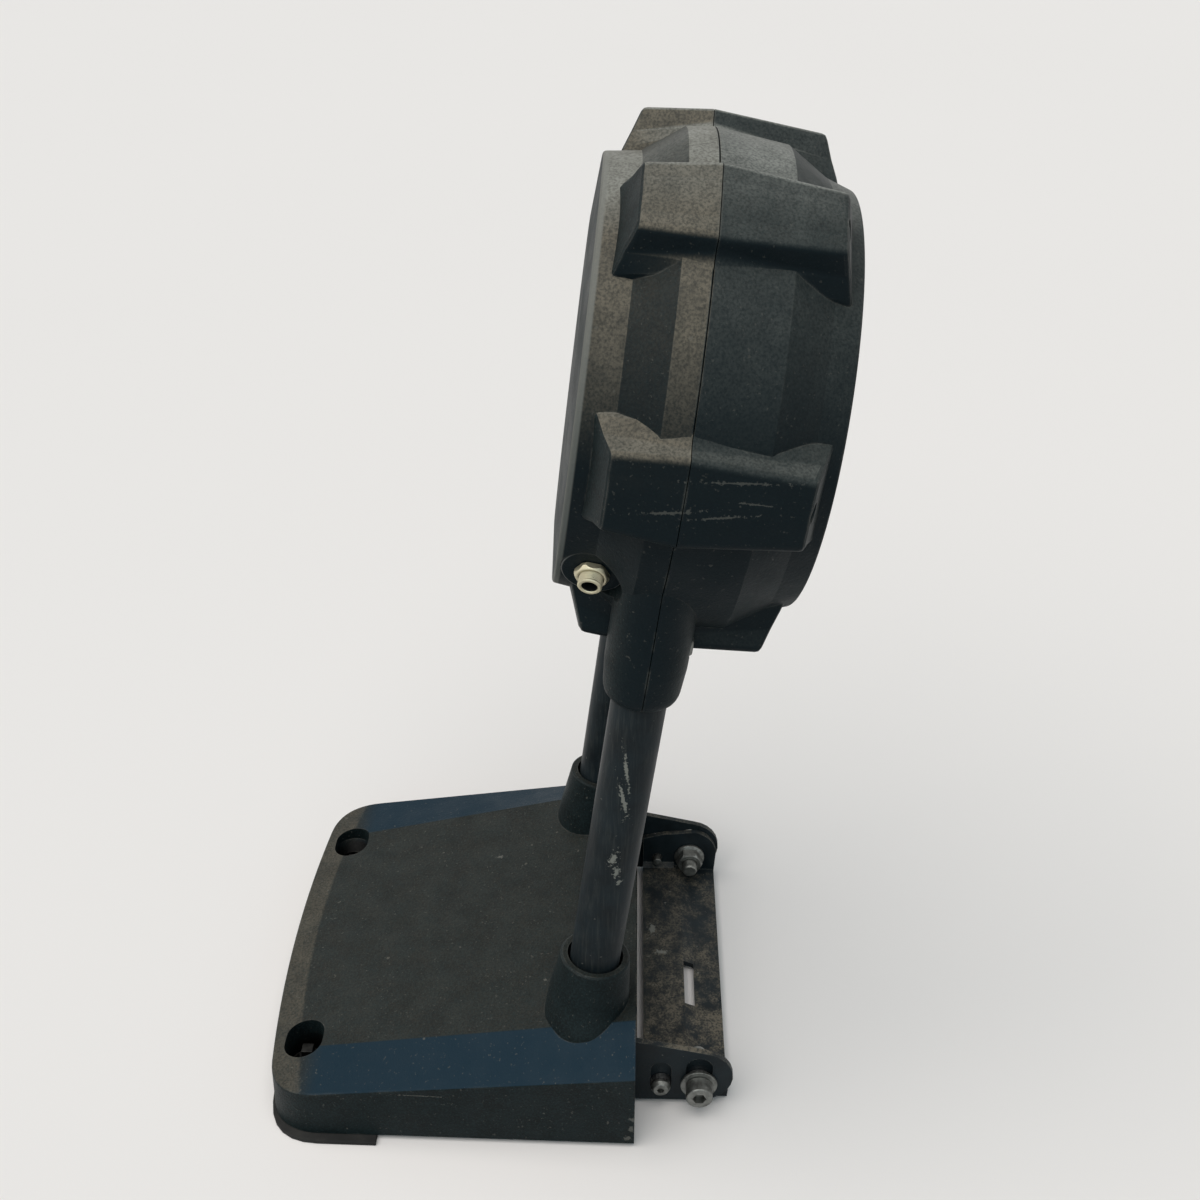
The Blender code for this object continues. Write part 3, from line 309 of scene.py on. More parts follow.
def pick(*objs):
    """Select only these objects, with the last one active."""
    bpy.ops.object.select_all(action='DESELECT')
    for ob in objs:
        ob.select_set(True)
    bpy.context.view_layer.objects.active = objs[-1]


def shape(ob, kind, **settings):
    """Put a modifier on an object and apply it."""
    mod = ob.modifiers.new(kind.title(), kind)
    for key, value in settings.items():
        setattr(mod, key, value)
    pick(ob)
    bpy.ops.object.modifier_apply(modifier=mod.name)
    return ob


def combine(base, tools, operation):
    """Exact boolean of a body with one or more others, which are used up."""
    pick(*tools)
    if len(tools) > 1:
        bpy.ops.object.join()
    tool = bpy.context.object
    shape(base, 'BOOLEAN', operation=operation, object=tool, solver='EXACT')
    bpy.data.objects.remove(tool, do_unlink=True)
    return base


def circle(radius, count, height=0.0, centre=(0.0, 0.0)):
    """Ring of points round a centre."""
    turns = [2 * math.pi * i / count for i in range(count)]
    return [(centre[0] + radius * math.cos(a), centre[1] + radius * math.sin(a), height) for a in turns]


def rounded(points, radii, steps=5, closed=False):
    """Line through points with each corner turned into a curve of its radius."""
    line = []
    last = len(points) - 1
    for i, corner in enumerate(points):
        corner = Vector(corner)
        if radii[i] == 0.0 or (not closed and i in (0, last)):
            line.append(corner)
            continue
        before = Vector(points[i - 1]) - corner
        after = Vector(points[(i + 1) % len(points)]) - corner
        if before.length < 0.001 or after.length < 0.001:
            line += [corner] * (steps + 1)
            continue
        reach = radii[i] / math.tan(max(before.angle(after), 0.05) / 2)
        reach = min(reach, before.length * 0.49, after.length * 0.49)
        start = corner + before.normalized() * reach
        end = corner + after.normalized() * reach
        for k in range(steps + 1):
            t = k / steps
            line.append((1 - t) ** 2 * start + 2 * t * (1 - t) * corner + t * t * end)
    return line


def rounded_rows(rows, radii, steps=4):
    """Rings with the ridges between them turned into curves."""
    columns = [rounded([row[i] for row in rows], radii, steps) for i in range(len(rows[0]))]
    return [list(ring) for ring in zip(*columns)]


def skin(name, rows, place, ends=True):
    """Closed surface through rings of equal point counts: a grid is wrapped round and its seam merged."""
    wide = len(rows[0])
    bpy.ops.object.select_all(action='DESELECT')
    bpy.ops.mesh.primitive_grid_add(x_subdivisions=wide, y_subdivisions=len(rows) - 1, size=1.0,
                                    location=(0, 0, 0))
    ob = bpy.context.object
    ob.name = name
    for i, vert in enumerate(ob.data.vertices):
        row, column = divmod(i, wide + 1)
        vert.co = place @ (Vector(rows[row][column % wide]) * MM)
    bpy.ops.object.mode_set(mode='EDIT')
    bpy.ops.mesh.select_mode(type='VERT')
    bpy.ops.mesh.select_all(action='SELECT')
    bpy.ops.mesh.remove_doubles(threshold=0.000002)
    if ends:
        bpy.ops.mesh.select_all(action='DESELECT')
        bpy.ops.mesh.select_non_manifold(extend=False, use_wire=False, use_boundary=True,
                                         use_multi_face=False, use_non_contiguous=False, use_verts=False)
        bpy.ops.mesh.fill_holes(sides=0)
    bpy.ops.mesh.select_all(action='SELECT')
    bpy.ops.mesh.normals_make_consistent(inside=False)
    bpy.ops.object.mode_set(mode='OBJECT')
    return ob


def primitive(name, kind, place=None, **settings):
    """New mesh object from a primitive, with its transform applied and then moved into a frame."""
    bpy.ops.object.select_all(action='DESELECT')
    getattr(bpy.ops.mesh, f"primitive_{kind}_add")(**settings)
    ob = bpy.context.object
    ob.name = name
    bpy.ops.object.transform_apply(location=True, rotation=True, scale=True)
    if place:
        ob.data.transform(place)
    return ob


def turned(name, profile, place, count=48):
    """Turned body: a point is extruded along a closed profile (radius, height), and the line is spun."""
    line = [Vector((p[0], 0.0, p[1])) * MM for p in profile]
    line = [p for i, p in enumerate(line) if (p - line[i - 1]).length > 0.000001]
    ob = primitive(name, "circle", vertices=3, radius=0.001, location=line[0])
    bpy.ops.object.mode_set(mode='EDIT')
    bpy.ops.mesh.select_all(action='SELECT')
    bpy.ops.mesh.merge(type='CENTER')
    for before, after in zip(line, line[1:] + line[:1]):
        bpy.ops.mesh.extrude_region_move(TRANSFORM_OT_translate={"value": after - before})
    bpy.ops.mesh.select_all(action='SELECT')
    bpy.ops.mesh.remove_doubles(threshold=0.000002)
    bpy.ops.mesh.select_all(action='SELECT')
    bpy.ops.mesh.spin(steps=count, angle=2 * math.pi, center=(0, 0, 0), axis=(0, 0, 1))
    bpy.ops.mesh.select_all(action='SELECT')
    bpy.ops.mesh.remove_doubles(threshold=0.000002)
    bpy.ops.mesh.delete_loose(use_verts=True, use_edges=True, use_faces=False)
    bpy.ops.mesh.select_all(action='SELECT')
    bpy.ops.mesh.normals_make_consistent(inside=False)
    bpy.ops.object.mode_set(mode='OBJECT')
    ob.data.transform(place)
    return ob


def copies(ob, places):
    """Copies of a body at the given places, each with its own mesh; the first body is used up."""
    made = []
    for place in places:
        twin = ob.copy()
        twin.data = ob.data.copy()
        twin.data.transform(place)
        bpy.context.collection.objects.link(twin)
        made.append(twin)
    bpy.data.objects.remove(ob, do_unlink=True)
    return made


def hexagon(across, z0, z1, place, name="hexagon", turn=0.0):
    """Hexagonal bar between two heights."""
    return primitive(name, "cylinder", place, vertices=6, radius=across / math.sqrt(3) * MM,
                     depth=(z1 - z0) * MM, location=(0.0, 0.0, (z0 + z1) / 2 * MM),
                     rotation=(0.0, 0.0, turn + math.radians(30.0)))


def block(x0, x1, y0, y1, z0, z1, place):
    """Plain block, used only as a cutter."""
    return primitive("cutter", "cube", place, size=1.0,
                     scale=((x1 - x0) * MM, (y1 - y0) * MM, (z1 - z0) * MM),
                     location=((x0 + x1) / 2 * MM, (y0 + y1) / 2 * MM, (z0 + z1) / 2 * MM))


def fine_copy(node, name, bevel=0.0, segments=2, angle=30.0):
    """Merged copy of a node's solid with its edges softened."""
    ob = frame["nodes"][node].copy()
    ob.data = ob.data.copy()
    ob.name = name
    ob.parent = None
    ob.matrix_world = Matrix.Identity(4)
    bpy.context.collection.objects.link(ob)
    pick(ob)
    bpy.ops.object.mode_set(mode='EDIT')
    bpy.ops.mesh.select_all(action='SELECT')
    bpy.ops.mesh.remove_doubles(threshold=0.000002)
    bpy.ops.mesh.dissolve_limited(angle_limit=math.radians(1.0))
    bpy.ops.object.mode_set(mode='OBJECT')
    if bevel:
        shape(ob, 'BEVEL', width=bevel * MM, segments=segments, limit_method='ANGLE',
              angle_limit=math.radians(angle), harden_normals=False)
    return ob


def settle(ob, body, slot, finish, *nodes, smooth=35.0):
    """Shade a piece, give it its finish, hang it on its body's empty and hide the nodes that it stands for."""
    pick(ob)
    bpy.ops.object.shade_smooth_by_angle(angle=math.radians(smooth))
    shape(ob, 'WEIGHTED_NORMAL', mode='FACE_AREA', weight=100, keep_sharp=True)
    ob.data.materials.clear()
    ob.data.materials.append(finish)
    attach(ob, body)
    if nodes:
        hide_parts(*nodes)
    return ob


def repaint(ob, place, finish, chosen):
    """Give a second finish to the faces that a test on radius and height in a frame picks."""
    back = place.inverted()
    ob.data.materials.append(finish)
    for face in ob.data.polygons:
        spot = back @ face.center
        if chosen(spot.xy.length / MM, spot.z / MM):
            face.material_index = 1


def add(mat, kind, inputs=None, **settings):
    """Shader node with its settings; an input given as a socket is linked, any other is set."""
    node = mat.node_tree.nodes.new(kind)
    for key, value in settings.items():
        setattr(node, key, value)
    for key, value in (inputs or {}).items():
        if isinstance(value, bpy.types.NodeSocket):
            mat.node_tree.links.new(value, node.inputs[key])
        else:
            node.inputs[key].default_value = value
    return node


def object_points(mat):
    """Object coordinates, in metres from the part's origin."""
    return add(mat, 'ShaderNodeTexCoord').outputs["Object"]


def noise(mat, points, scale, detail=2.0, rough=0.5):
    """Noise value between 0 and 1."""
    return add(mat, 'ShaderNodeTexNoise', {"Vector": points, "Scale": scale, "Detail": detail,
                                           "Roughness": rough}).outputs["Fac"]


def maths(mat, operation, first, second=0.0, clamp=False):
    """One sum on two values."""
    return add(mat, 'ShaderNodeMath', {0: first, 1: second}, operation=operation, use_clamp=clamp).outputs[0]


def times(mat, *values):
    """Product of two or more values."""
    total = values[0]
    for value in values[1:]:
        total = maths(mat, 'MULTIPLY', total, value)
    return total


def dot(mat, first, second):
    """Dot product of two vectors."""
    return add(mat, 'ShaderNodeVectorMath', {0: first, 1: second}, operation='DOT_PRODUCT').outputs["Value"]


def split(mat, vector):
    """A vector's X, Y and Z."""
    return add(mat, 'ShaderNodeSeparateXYZ', {0: vector}).outputs


def spread(mat, value, low, high, to_low=0.0, to_high=1.0):
    """Value between two limits, stretched to a new range and held there."""
    limits = {"Value": value, "From Min": low, "From Max": high, "To Min": to_low, "To Max": to_high}
    return add(mat, 'ShaderNodeMapRange', limits, interpolation_type='SMOOTHSTEP').outputs["Result"]


def blend(mat, amount, first, second):
    """Mix of two colours."""
    node = add(mat, 'ShaderNodeMix', {"Factor": amount}, data_type='RGBA')
    for socket, value in zip([s for s in node.inputs if s.type == 'RGBA'], (first, second)):
        if isinstance(value, bpy.types.NodeSocket):
            mat.node_tree.links.new(value, socket)
        else:
            socket.default_value = value
    return [s for s in node.outputs if s.type == 'RGBA'][0]


def surface_normal(mat):
    """The direction that a surface faces."""
    return add(mat, 'ShaderNodeNewGeometry').outputs["Normal"]


def facing_up(mat):
    """How far a surface faces up, 0 to 1."""
    return maths(mat, 'MAXIMUM', split(mat, surface_normal(mat))["Z"], 0.0)


def marks(mat, spots, broken=700.0):
    """Scratches and chips: ragged ellipsoids, each with its centre, size and turn about X."""
    points = object_points(mat)
    ragged = spread(mat, noise(mat, points, broken, 3.0, 0.7), 0.3, 0.7, 0.35, 1.5)
    total = 0.0
    for centre, size, turn in spots:
        place = {"Vector": points, "Location": [c * MM for c in centre], "Scale": [s * MM for s in size],
                 "Rotation": (math.radians(turn), 0.0, 0.0)}
        local = add(mat, 'ShaderNodeMapping', place, vector_type='TEXTURE').outputs[0]
        far = add(mat, 'ShaderNodeVectorMath', {0: local}, operation='LENGTH').outputs["Value"]
        total = maths(mat, 'MAXIMUM', spread(mat, times(mat, far, ragged), 1.0, 0.55), total)
    return total


def shown(mat):
    """Rays that see the pale background: from the camera, and through gloss and glass."""
    rays = add(mat, 'ShaderNodeLightPath').outputs
    return maths(mat, 'MAXIMUM', maths(mat, 'MAXIMUM', rays["Is Camera Ray"], rays["Is Glossy Ray"]),
                 rays["Is Transmission Ray"])


def bump(mat, height, strength, distance):
    """Normal roughened by a height."""
    relief = {"Height": height, "Strength": strength, "Distance": distance}
    return add(mat, 'ShaderNodeBump', relief).outputs["Normal"]


def ridge_wear_and_highlight(mat, radius, scale):
    """Ridges made lighter, standing for wear and for painted highlight where light would catch them: where a
    softened normal leaves the true one, broken up by noise.
    """
    soft = add(mat, 'ShaderNodeBevel', {"Radius": radius}, samples=4).outputs["Normal"]
    bent = spread(mat, dot(mat, soft, surface_normal(mat)), 0.998, 0.95)
    return times(mat, bent, spread(mat, noise(mat, object_points(mat), scale, 5.0, 0.65), 0.42, 0.62))


def surface(name, colour, roughness, normal=None, **constants):
    """Material with its main inputs linked and its constants set on the shader itself."""
    mat = bpy.data.materials.new(name)
    mat.use_nodes = True
    shader = mat.node_tree.nodes["Principled BSDF"]
    for key, value in constants.items():
        shader.inputs[key.replace("_", " ")].default_value = value
    tree = mat.node_tree
    for key, value in (("Base Color", colour), ("Roughness", roughness), ("Normal", normal)):
        if value is None:
            continue
        value = value(mat) if callable(value) else value
        if isinstance(value, bpy.types.NodeSocket):
            tree.links.new(value, shader.inputs[key])
        else:
            shader.inputs[key].default_value = value
    return mat


def finishes():
    """The colours that a user can change."""
    return bpy.context.scene.pad_finishes


def scaled(colour, share):
    """A colour made darker or lighter, still opaque."""
    return tuple(c * share for c in colour[:3]) + (1.0,)


def plastic_base(mat, points):
    """Black plastic with a fine, slightly uneven tone."""
    dark = tuple(finishes().plastic)
    cloud = times(mat, spread(mat, noise(mat, points, 75.0, 6.0, 0.6), 0.3, 0.7), 0.5)
    fine = spread(mat, noise(mat, points, 1050.0, 2.0), 0.42, 0.72)
    return blend(mat, maths(mat, 'ADD', cloud, fine, True), dark, scaled(dark, 2.8))


def dust_patch(mat, points, low):
    """Uneven thin dust: broad patches broken by fine grain."""
    broad = spread(mat, noise(mat, points, 70.0, 8.0, 0.72), 0.32, 0.68, low, 1.0)
    return times(mat, broad, spread(mat, noise(mat, points, 900.0, 3.0, 0.6), 0.3, 0.66, 0.45, 1.15))


def plastic_specks(mat, points, base, amount):
    """Fine pale specks of dust and lint."""
    speck = spread(mat, noise(mat, points, 620.0, 2.0), 0.66, 0.74, 0.0, amount)
    lint = spread(mat, noise(mat, points, 190.0, 2.0), 0.735, 0.76, 0.0, amount * 1.4)
    return blend(mat, maths(mat, 'MAXIMUM', speck, lint), base, LINT)


def plastic_grain(mat):
    """Fine moulded texture."""
    points = object_points(mat)
    height = maths(mat, 'ADD', noise(mat, points, 1500.0, 3.0, 0.6), noise(mat, points, 620.0, 2.0))
    return bump(mat, height, 0.42, 0.00035)


def plastic_rough(mat):
    """Slightly uneven gloss."""
    return spread(mat, noise(mat, object_points(mat), 60.0, 4.0), 0.2, 0.8, 0.44, 0.6)


def housing_plastic():
    """Plastic of the head: warm dust on faces towards the audience, clean ramps, grey film above, a painted cool
    sheen on faces turned to the sides, and dust with painted highlight on the front rim and ridges.
    """
    look = finishes()

    def colour(mat):
        points = object_points(mat)
        height = split(mat, points)["Z"]
        normal = surface_normal(mat)
        facing = split(mat, normal)
        up = facing["Z"]
        lean = dot(mat, normal, tuple(AXIS))
        patch = dust_patch(mat, points, 0.6)
        base = plastic_base(mat, points)
        # Painted sheen: faces turned to either side get a bluish tint that stands in for reflected cool light
        aside = maths(mat, 'ABSOLUTE', facing["X"])
        base = blend(mat, times(mat, spread(mat, aside, 0.45, 0.95), 0.8), base, tuple(look.cool))
        outer_faces = times(mat, spread(mat, lean, 0.03, 0.1), spread(mat, lean, 0.62, 0.4))
        warm = times(mat, outer_faces, spread(mat, up, -0.02, 0.72), patch, spread(mat, height, 0.27, 0.34))
        base = blend(mat, warm, base, tuple(look.dust))
        film = times(mat, spread(mat, lean, 0.02, -0.04), spread(mat, up, -0.05, 0.7), patch, 0.7)
        base = blend(mat, film, base, tuple(look.film))
        top = times(mat, spread(mat, up, 0.82, 0.99), patch, spread(mat, height, 0.36, 0.4, 0.25, 1.0), 0.8)
        base = plastic_specks(mat, points, blend(mat, top, base, PALE_FILM), 0.22)
        # Dust with painted highlight along the rounded rim of the audience dish's front face
        disc = HEAD.translation.dot(AXIS) + 0.0396
        front = times(mat, spread(mat, dot(mat, points, tuple(AXIS)), disc - 0.0006, disc + 0.0004),
                      spread(mat, lean, 0.995, 0.94), 0.75)
        base = blend(mat, front, base, RIM_DUST_AND_HIGHLIGHT)
        # Scratches, and ridges lighter from dust and wear with painted highlight where light would catch them
        worn = maths(mat, 'MAXIMUM', times(mat, marks(mat, HEAD_MARKS), 0.55),
                     times(mat, ridge_wear_and_highlight(mat, 0.0012, 55.0), 0.5))
        return blend(mat, worn, base, HEAD_WEAR_AND_HIGHLIGHT)

    return surface("housing_plastic", colour, plastic_rough, plastic_grain, Specular_IOR_Level=0.12)


def cover_plastic():
    """Plastic of the base cover: thin dust on top, brown rubbed front rim, clean side slopes with a painted bluish
    reflection, painted shade deep in the wells, and worn ridges with painted highlight.
    """
    look = finishes()

    def colour(mat):
        points = object_points(mat)
        spot = split(mat, points)
        up = split(mat, surface_normal(mat))["Z"]
        aside = maths(mat, 'ABSOLUTE', spot["X"])
        patch = dust_patch(mat, points, 0.55)
        base = plastic_base(mat, points)
        base = blend(mat, times(mat, spread(mat, up, 0.93, 0.985), patch, 0.13), base, tuple(look.dust))
        front = maths(mat, 'ADD', spot["Y"], times(mat, spot["X"], spot["X"], TOP_BOW / MM))
        edge = BASE.translation.y + TOP_FRONT * MM
        rim = times(mat, spread(mat, front, edge - 0.0012, edge + 0.0006), spread(mat, up, 0.5, 0.9),
                    patch, 0.42)
        base = blend(mat, rim, base, tuple(look.dust))
        # Painted reflection: both side slopes of the cover get a bluish tint that stands in for reflected cool
        # light
        out = maths(mat, 'ADD', times(mat, spot["Y"], TOP_TAPER), aside)
        ridge_x = TOP_HALF * MM + TOP_TAPER * BASE.translation.y
        corner = BASE.translation.y + 0.15
        slope = times(mat, spread(mat, out, ridge_x - 0.0004, ridge_x + 0.0006), spread(mat, up, 0.45, 0.7),
                      spread(mat, spot["Y"], corner + 0.015, corner), 0.9)
        base = plastic_specks(mat, points, blend(mat, slope, base, tuple(look.slope)), 0.32)
        # Painted shade: low down in the wells round the anchor bolts, the cover turns near black where shade falls
        bolts = [middle("anchor_bolt_" + tag) / MM for _, tag in SIDES]
        well_shade = marks(mat, [((bolt.x, bolt.y, 8.0), (22.0, 18.0, 18.0), 0.0) for bolt in bolts], 10.0)
        inside = times(mat, well_shade, spread(mat, spot["Z"], 0.0225, 0.019),
                       maths(mat, 'LESS_THAN', aside, 0.0865))
        base = blend(mat, inside, base, PAINTED_WELL_SHADE)
        # Scratches, and ridges lighter from dust and wear with painted highlight where light would catch them
        worn = maths(mat, 'MAXIMUM', times(mat, marks(mat, COVER_MARKS), 0.6),
                     times(mat, ridge_wear_and_highlight(mat, 0.001, 70.0), 0.28))
        return blend(mat, worn, base, COVER_WEAR_AND_HIGHLIGHT)

    return surface("cover_plastic", colour, plastic_rough, plastic_grain, Specular_IOR_Level=0.12)


def painted_steel(name, dust, chips, spots=(), gloss=0.15, streaks=0.0):
    """Black paint over steel, with dust, worn ridges and chips down to grey."""
    look = finishes()

    def colour(mat):
        points = object_points(mat)
        cloud = spread(mat, noise(mat, points, 60.0, 6.0, 0.6), 0.3, 0.7)
        base = blend(mat, cloud, tuple(look.paint), scaled(look.paint, 1.8))
        patch = times(mat, spread(mat, noise(mat, points, 85.0, 9.0, 0.8), 0.4, 0.66),
                      spread(mat, noise(mat, points, 900.0, 3.0), 0.35, 0.62, 0.3, 1.3))
        across = spread(mat, split(mat, points)["X"], 0.05, -0.085, 0.75, 1.7)
        base = blend(mat, times(mat, facing_up(mat), patch, across, dust), base, tuple(look.dust))
        worn = maths(mat, 'MAXIMUM', spread(mat, noise(mat, points, 330.0, 3.0, 0.6), 0.7, 0.74, 0.0, chips),
                     times(mat, ridge_wear_and_highlight(mat, 0.0006, 90.0), 0.5))
        if streaks:
            drawn = add(mat, 'ShaderNodeMapping', {"Vector": points, "Scale": (1.0, 1.0, 0.06)}).outputs[0]
            lines = spread(mat, noise(mat, drawn, 700.0, 6.0, 0.7), 0.45, 0.75, 0.0, streaks)
            worn = maths(mat, 'MAXIMUM', worn, lines)
        if spots:
            worn = maths(mat, 'MAXIMUM', worn, marks(mat, spots))
        return blend(mat, worn, base, STEEL_WORN)

    def rough(mat):
        return spread(mat, noise(mat, object_points(mat), 60.0, 4.0), 0.2, 0.8, 0.36, 0.52)

    def grain(mat):
        return bump(mat, noise(mat, object_points(mat), 1100.0, 2.0), 0.25, 0.0002)

    return surface(name, colour, rough, grain, Specular_IOR_Level=gloss)


def plated(name, colour_value, rough_low, rough_high, darken=0.5):
    """Plated metal with dull stains."""
    def colour(mat):
        points = object_points(mat)
        stain = spread(mat, noise(mat, points, 240.0, 5.0, 0.6), 0.35, 0.7)
        return blend(mat, stain, tuple(colour_value), scaled(colour_value, darken))

    def rough(mat):
        return spread(mat, noise(mat, object_points(mat), 500.0, 3.0), 0.2, 0.8, rough_low, rough_high)

    def grain(mat):
        return bump(mat, noise(mat, object_points(mat), 1800.0, 2.0), 0.12, 0.0001)

    return surface(name, colour, rough, grain, Metallic=1.0)


def rubbery(name="black_rubber", value=0.012, rough_value=0.8):
    """Matt rubber with a powdery face."""
    def colour(mat):
        cloud = spread(mat, noise(mat, object_points(mat), 90.0, 4.0), 0.3, 0.7)
        return blend(mat, cloud, (value, value, value, 1.0), (value * 2.4, value * 2.3, value * 2.1, 1.0))

    def grain(mat):
        return bump(mat, noise(mat, object_points(mat), 1400.0, 2.0), 0.3, 0.0002)

    return surface(name, colour, rough_value, grain, Specular_IOR_Level=0.3)


def woven_cloth(name="woven_cloth", pitch=0.0011):
    """Plain weave in the plane of the strike face: two sets of threads that pass over each other in turn."""
    look = finishes()
    lean = math.atan2(AXIS.z, AXIS.y)

    def threads(mat):
        flat = add(mat, 'ShaderNodeMapping', {"Vector": object_points(mat), "Rotation": (-lean, 0.0, 0.0)})
        part = split(mat, flat.outputs[0])
        waves = []
        for channel in ("X", "Z"):
            turn = times(mat, part[channel], math.pi / pitch)
            waves.append(maths(mat, 'SINE', turn))
        over = spread(mat, times(mat, *waves), -0.25, 0.25)
        crests = [maths(mat, 'ABSOLUTE', wave) for wave in waves]
        return add(mat, 'ShaderNodeMix', {"Factor": over, "A": crests[0], "B": crests[1]}).outputs["Result"]

    def colour(mat):
        shade = spread(mat, threads(mat), 0.1, 0.95)
        dark = blend(mat, shade, scaled(look.cloth, 0.45), scaled(look.cloth, 1.5))
        worn = spread(mat, noise(mat, object_points(mat), 30.0, 5.0, 0.6), 0.45, 0.75, 0.0, 0.35)
        return blend(mat, worn, dark, (0.06, 0.058, 0.054, 1.0))

    def weave(mat):
        return bump(mat, threads(mat), 0.7, 0.0004)

    return surface(name, colour, 0.92, weave, Specular_IOR_Level=0.2, Sheen_Weight=0.25)


def open_foam(name="open_foam"):
    """Grey foam with small cells."""
    def colour(mat):
        cells = noise(mat, object_points(mat), 900.0, 3.0)
        return blend(mat, spread(mat, cells, 0.35, 0.65), (0.03, 0.03, 0.032, 1.0), (0.14, 0.14, 0.145, 1.0))

    def grain(mat):
        return bump(mat, noise(mat, object_points(mat), 900.0, 3.0), 0.8, 0.0006)

    return surface(name, colour, 0.95, grain, Specular_IOR_Level=0.15)


def lead_skin(name="lead_skin"):
    """Thin coloured insulation."""
    def colour(mat):
        tone = spread(mat, noise(mat, object_points(mat), 300.0, 3.0), 0.3, 0.7)
        return blend(mat, tone, (0.3, 0.02, 0.02, 1.0), (0.4, 0.035, 0.03, 1.0))

    return surface(name, colour, 0.45, None, Specular_IOR_Level=0.4)


FINISH = {}


def finish_for(slot):
    """Material for one of the record's slots, made once."""
    look = finishes()
    makers = {
        "black_plastic": housing_plastic,
        "cover_plastic": cover_plastic,
        "black_paint": lambda: painted_steel("plate_paint", 0.85, 0.5, PLATE_MARKS),
        "tube_paint": lambda: painted_steel("tube_paint", 0.0, 0.3, TUBE_MARKS, 0.12, 0.09),
        "jack_bore_shade": lambda: rubbery("jack_bore_shade", 0.003, 0.6),
        "jack_rim_highlight": lambda: rubbery("jack_rim_highlight", 0.07, 0.55),
        "anchor_steel_painted_shade": lambda: plated("anchor_steel_painted_shade", (0.03, 0.03, 0.029, 1.0), 0.45, 0.6, 0.5),
        "nickel": lambda: plated("warm_nickel", look.nickel, 0.42, 0.55, 0.8),
        "zinc": lambda: plated("dull_zinc", look.zinc, 0.4, 0.58, 0.5),
        "bare_steel": lambda: plated("bare_steel", (0.42, 0.42, 0.42, 1.0), 0.3, 0.5, 0.6),
        "sensor_brass": lambda: plated("sensor_brass", (0.7, 0.5, 0.24, 1.0), 0.3, 0.45, 0.75),
        "rubber": rubbery,
        "pad_fabric": woven_cloth,
        "foam": open_foam,
        "lead_wire": lead_skin,
    }
    if slot not in FINISH:
        FINISH[slot] = makers[slot]()
    return FINISH[slot]


def lug_rows(sign, end, foot, end_half, end_top):
    """Rings of a lug half, x outwards, with a soft ridge, a hollow foot and a sloping end."""
    sizes = bpy.context.scene.pad_housing
    top, half, ridge, cove = (size / MM for size in (sizes.lug_top, sizes.lug_half, sizes.lug_ridge,
                                                     sizes.lug_cove))

    def section(corners, radii, along):
        line = rounded(corners, radii, 6)
        return [(r, w, along(r)) for r, w in line] + [(r, -w, along(r)) for r, w in line[:0:-1]]

    slope = (foot - end) / (end_top - LUG_FOOT)

    def end_height(r):
        return sign * (end + (end_top - r) * slope)

    inner = section([(top + 0.4, 0.0), (top, half * 0.5), (top - 0.2, half), (R_PART - 0.9, half + 2.0),
                     (R_PART - 4.0, half + 8.2), (LUG_ROOT, half + 8.4)],
                    (0.0, 20.0, ridge, cove, 0.0, 0.0), lambda r: sign * (PARTING + STEP))
    outer = section([(end_top + 0.4, 0.0), (end_top, end_half * 0.5), (end_top - 0.2, end_half),
                     (94.5, end_half + 2.2), (86.5, end_half + 5.6), (LUG_ROOT, end_half + 6.4)],
                    (0.0, 20.0, ridge, cove * 1.4, 0.0, 0.0), end_height)
    centre = Vector((LUG_MIDDLE, 0.0, end_height(LUG_MIDDLE)))

    def eased(point, back, inwards):
        point = Vector(point)
        point.z -= sign * back
        return point + (centre - point).normalized() * inwards

    near_end = [eased(p, LUG_SOFT, 0.0) for p in outer]
    rim = [eased(p, LUG_SOFT * 0.3, LUG_SOFT * 0.3) for p in outer]
    cap = [eased(p, 0.0, LUG_SOFT) for p in outer]
    between = [[tuple(Vector(a).lerp(Vector(b), step)) for a, b in zip(inner, near_end)]
               for step in (0.25, 0.5, 0.75)]
    return [inner] + between + [near_end, rim, cap]


def lug_places():
    """Frames of the six lugs round the head."""
    turns = [360.0 / LUG_COUNT * i for i in range(LUG_COUNT)]
    return [HEAD @ Matrix.Rotation(math.radians(turn), 4, 'Z') for turn in turns]


def lugs(sizes):
    """Six lug halves round the head."""
    return copies(skin("lug", lug_rows(*sizes), Matrix.Identity(4)), lug_places())


def pin(name, radius, low, high, place, count=64):
    """Plain round bar between two heights, used as a cutter or a boss."""
    return turned(name, [(0.0, low), (radius, low), (radius, high), (0.0, high)], place, count)


def socket_halves(sign):
    """Halves of the tube sockets on one side of the parting line."""
    profile = rounded([(0.0, SOCKET_END), (SOCKET_R - 1.4, SOCKET_END), (SOCKET_R, SOCKET_END + 18.0),
                       (SOCKET_R, SOCKET_TOP), (0.0, SOCKET_TOP)], (0.0, 7.0, 20.0, 2.0, 0.0), 8)
    reach = 220.0
    near, far = sorted((sign * (PARTING + 2 * STEP), sign * reach))
    halves = []
    for _, tag in SIDES:
        body = turned("socket", profile, tube_place(tag), 64)
        halves.append(combine(body, [block(-reach, reach, -reach, reach, near, far, HEAD)], 'INTERSECT'))
    return halves


def tube_bores():
    """Cutters for the tubes in their sockets."""
    return [pin("bore", TUBE_R + TUBE_PLAY, 210.0, TUBE_TOP + 2.0, tube_place(tag)) for _, tag in SIDES]


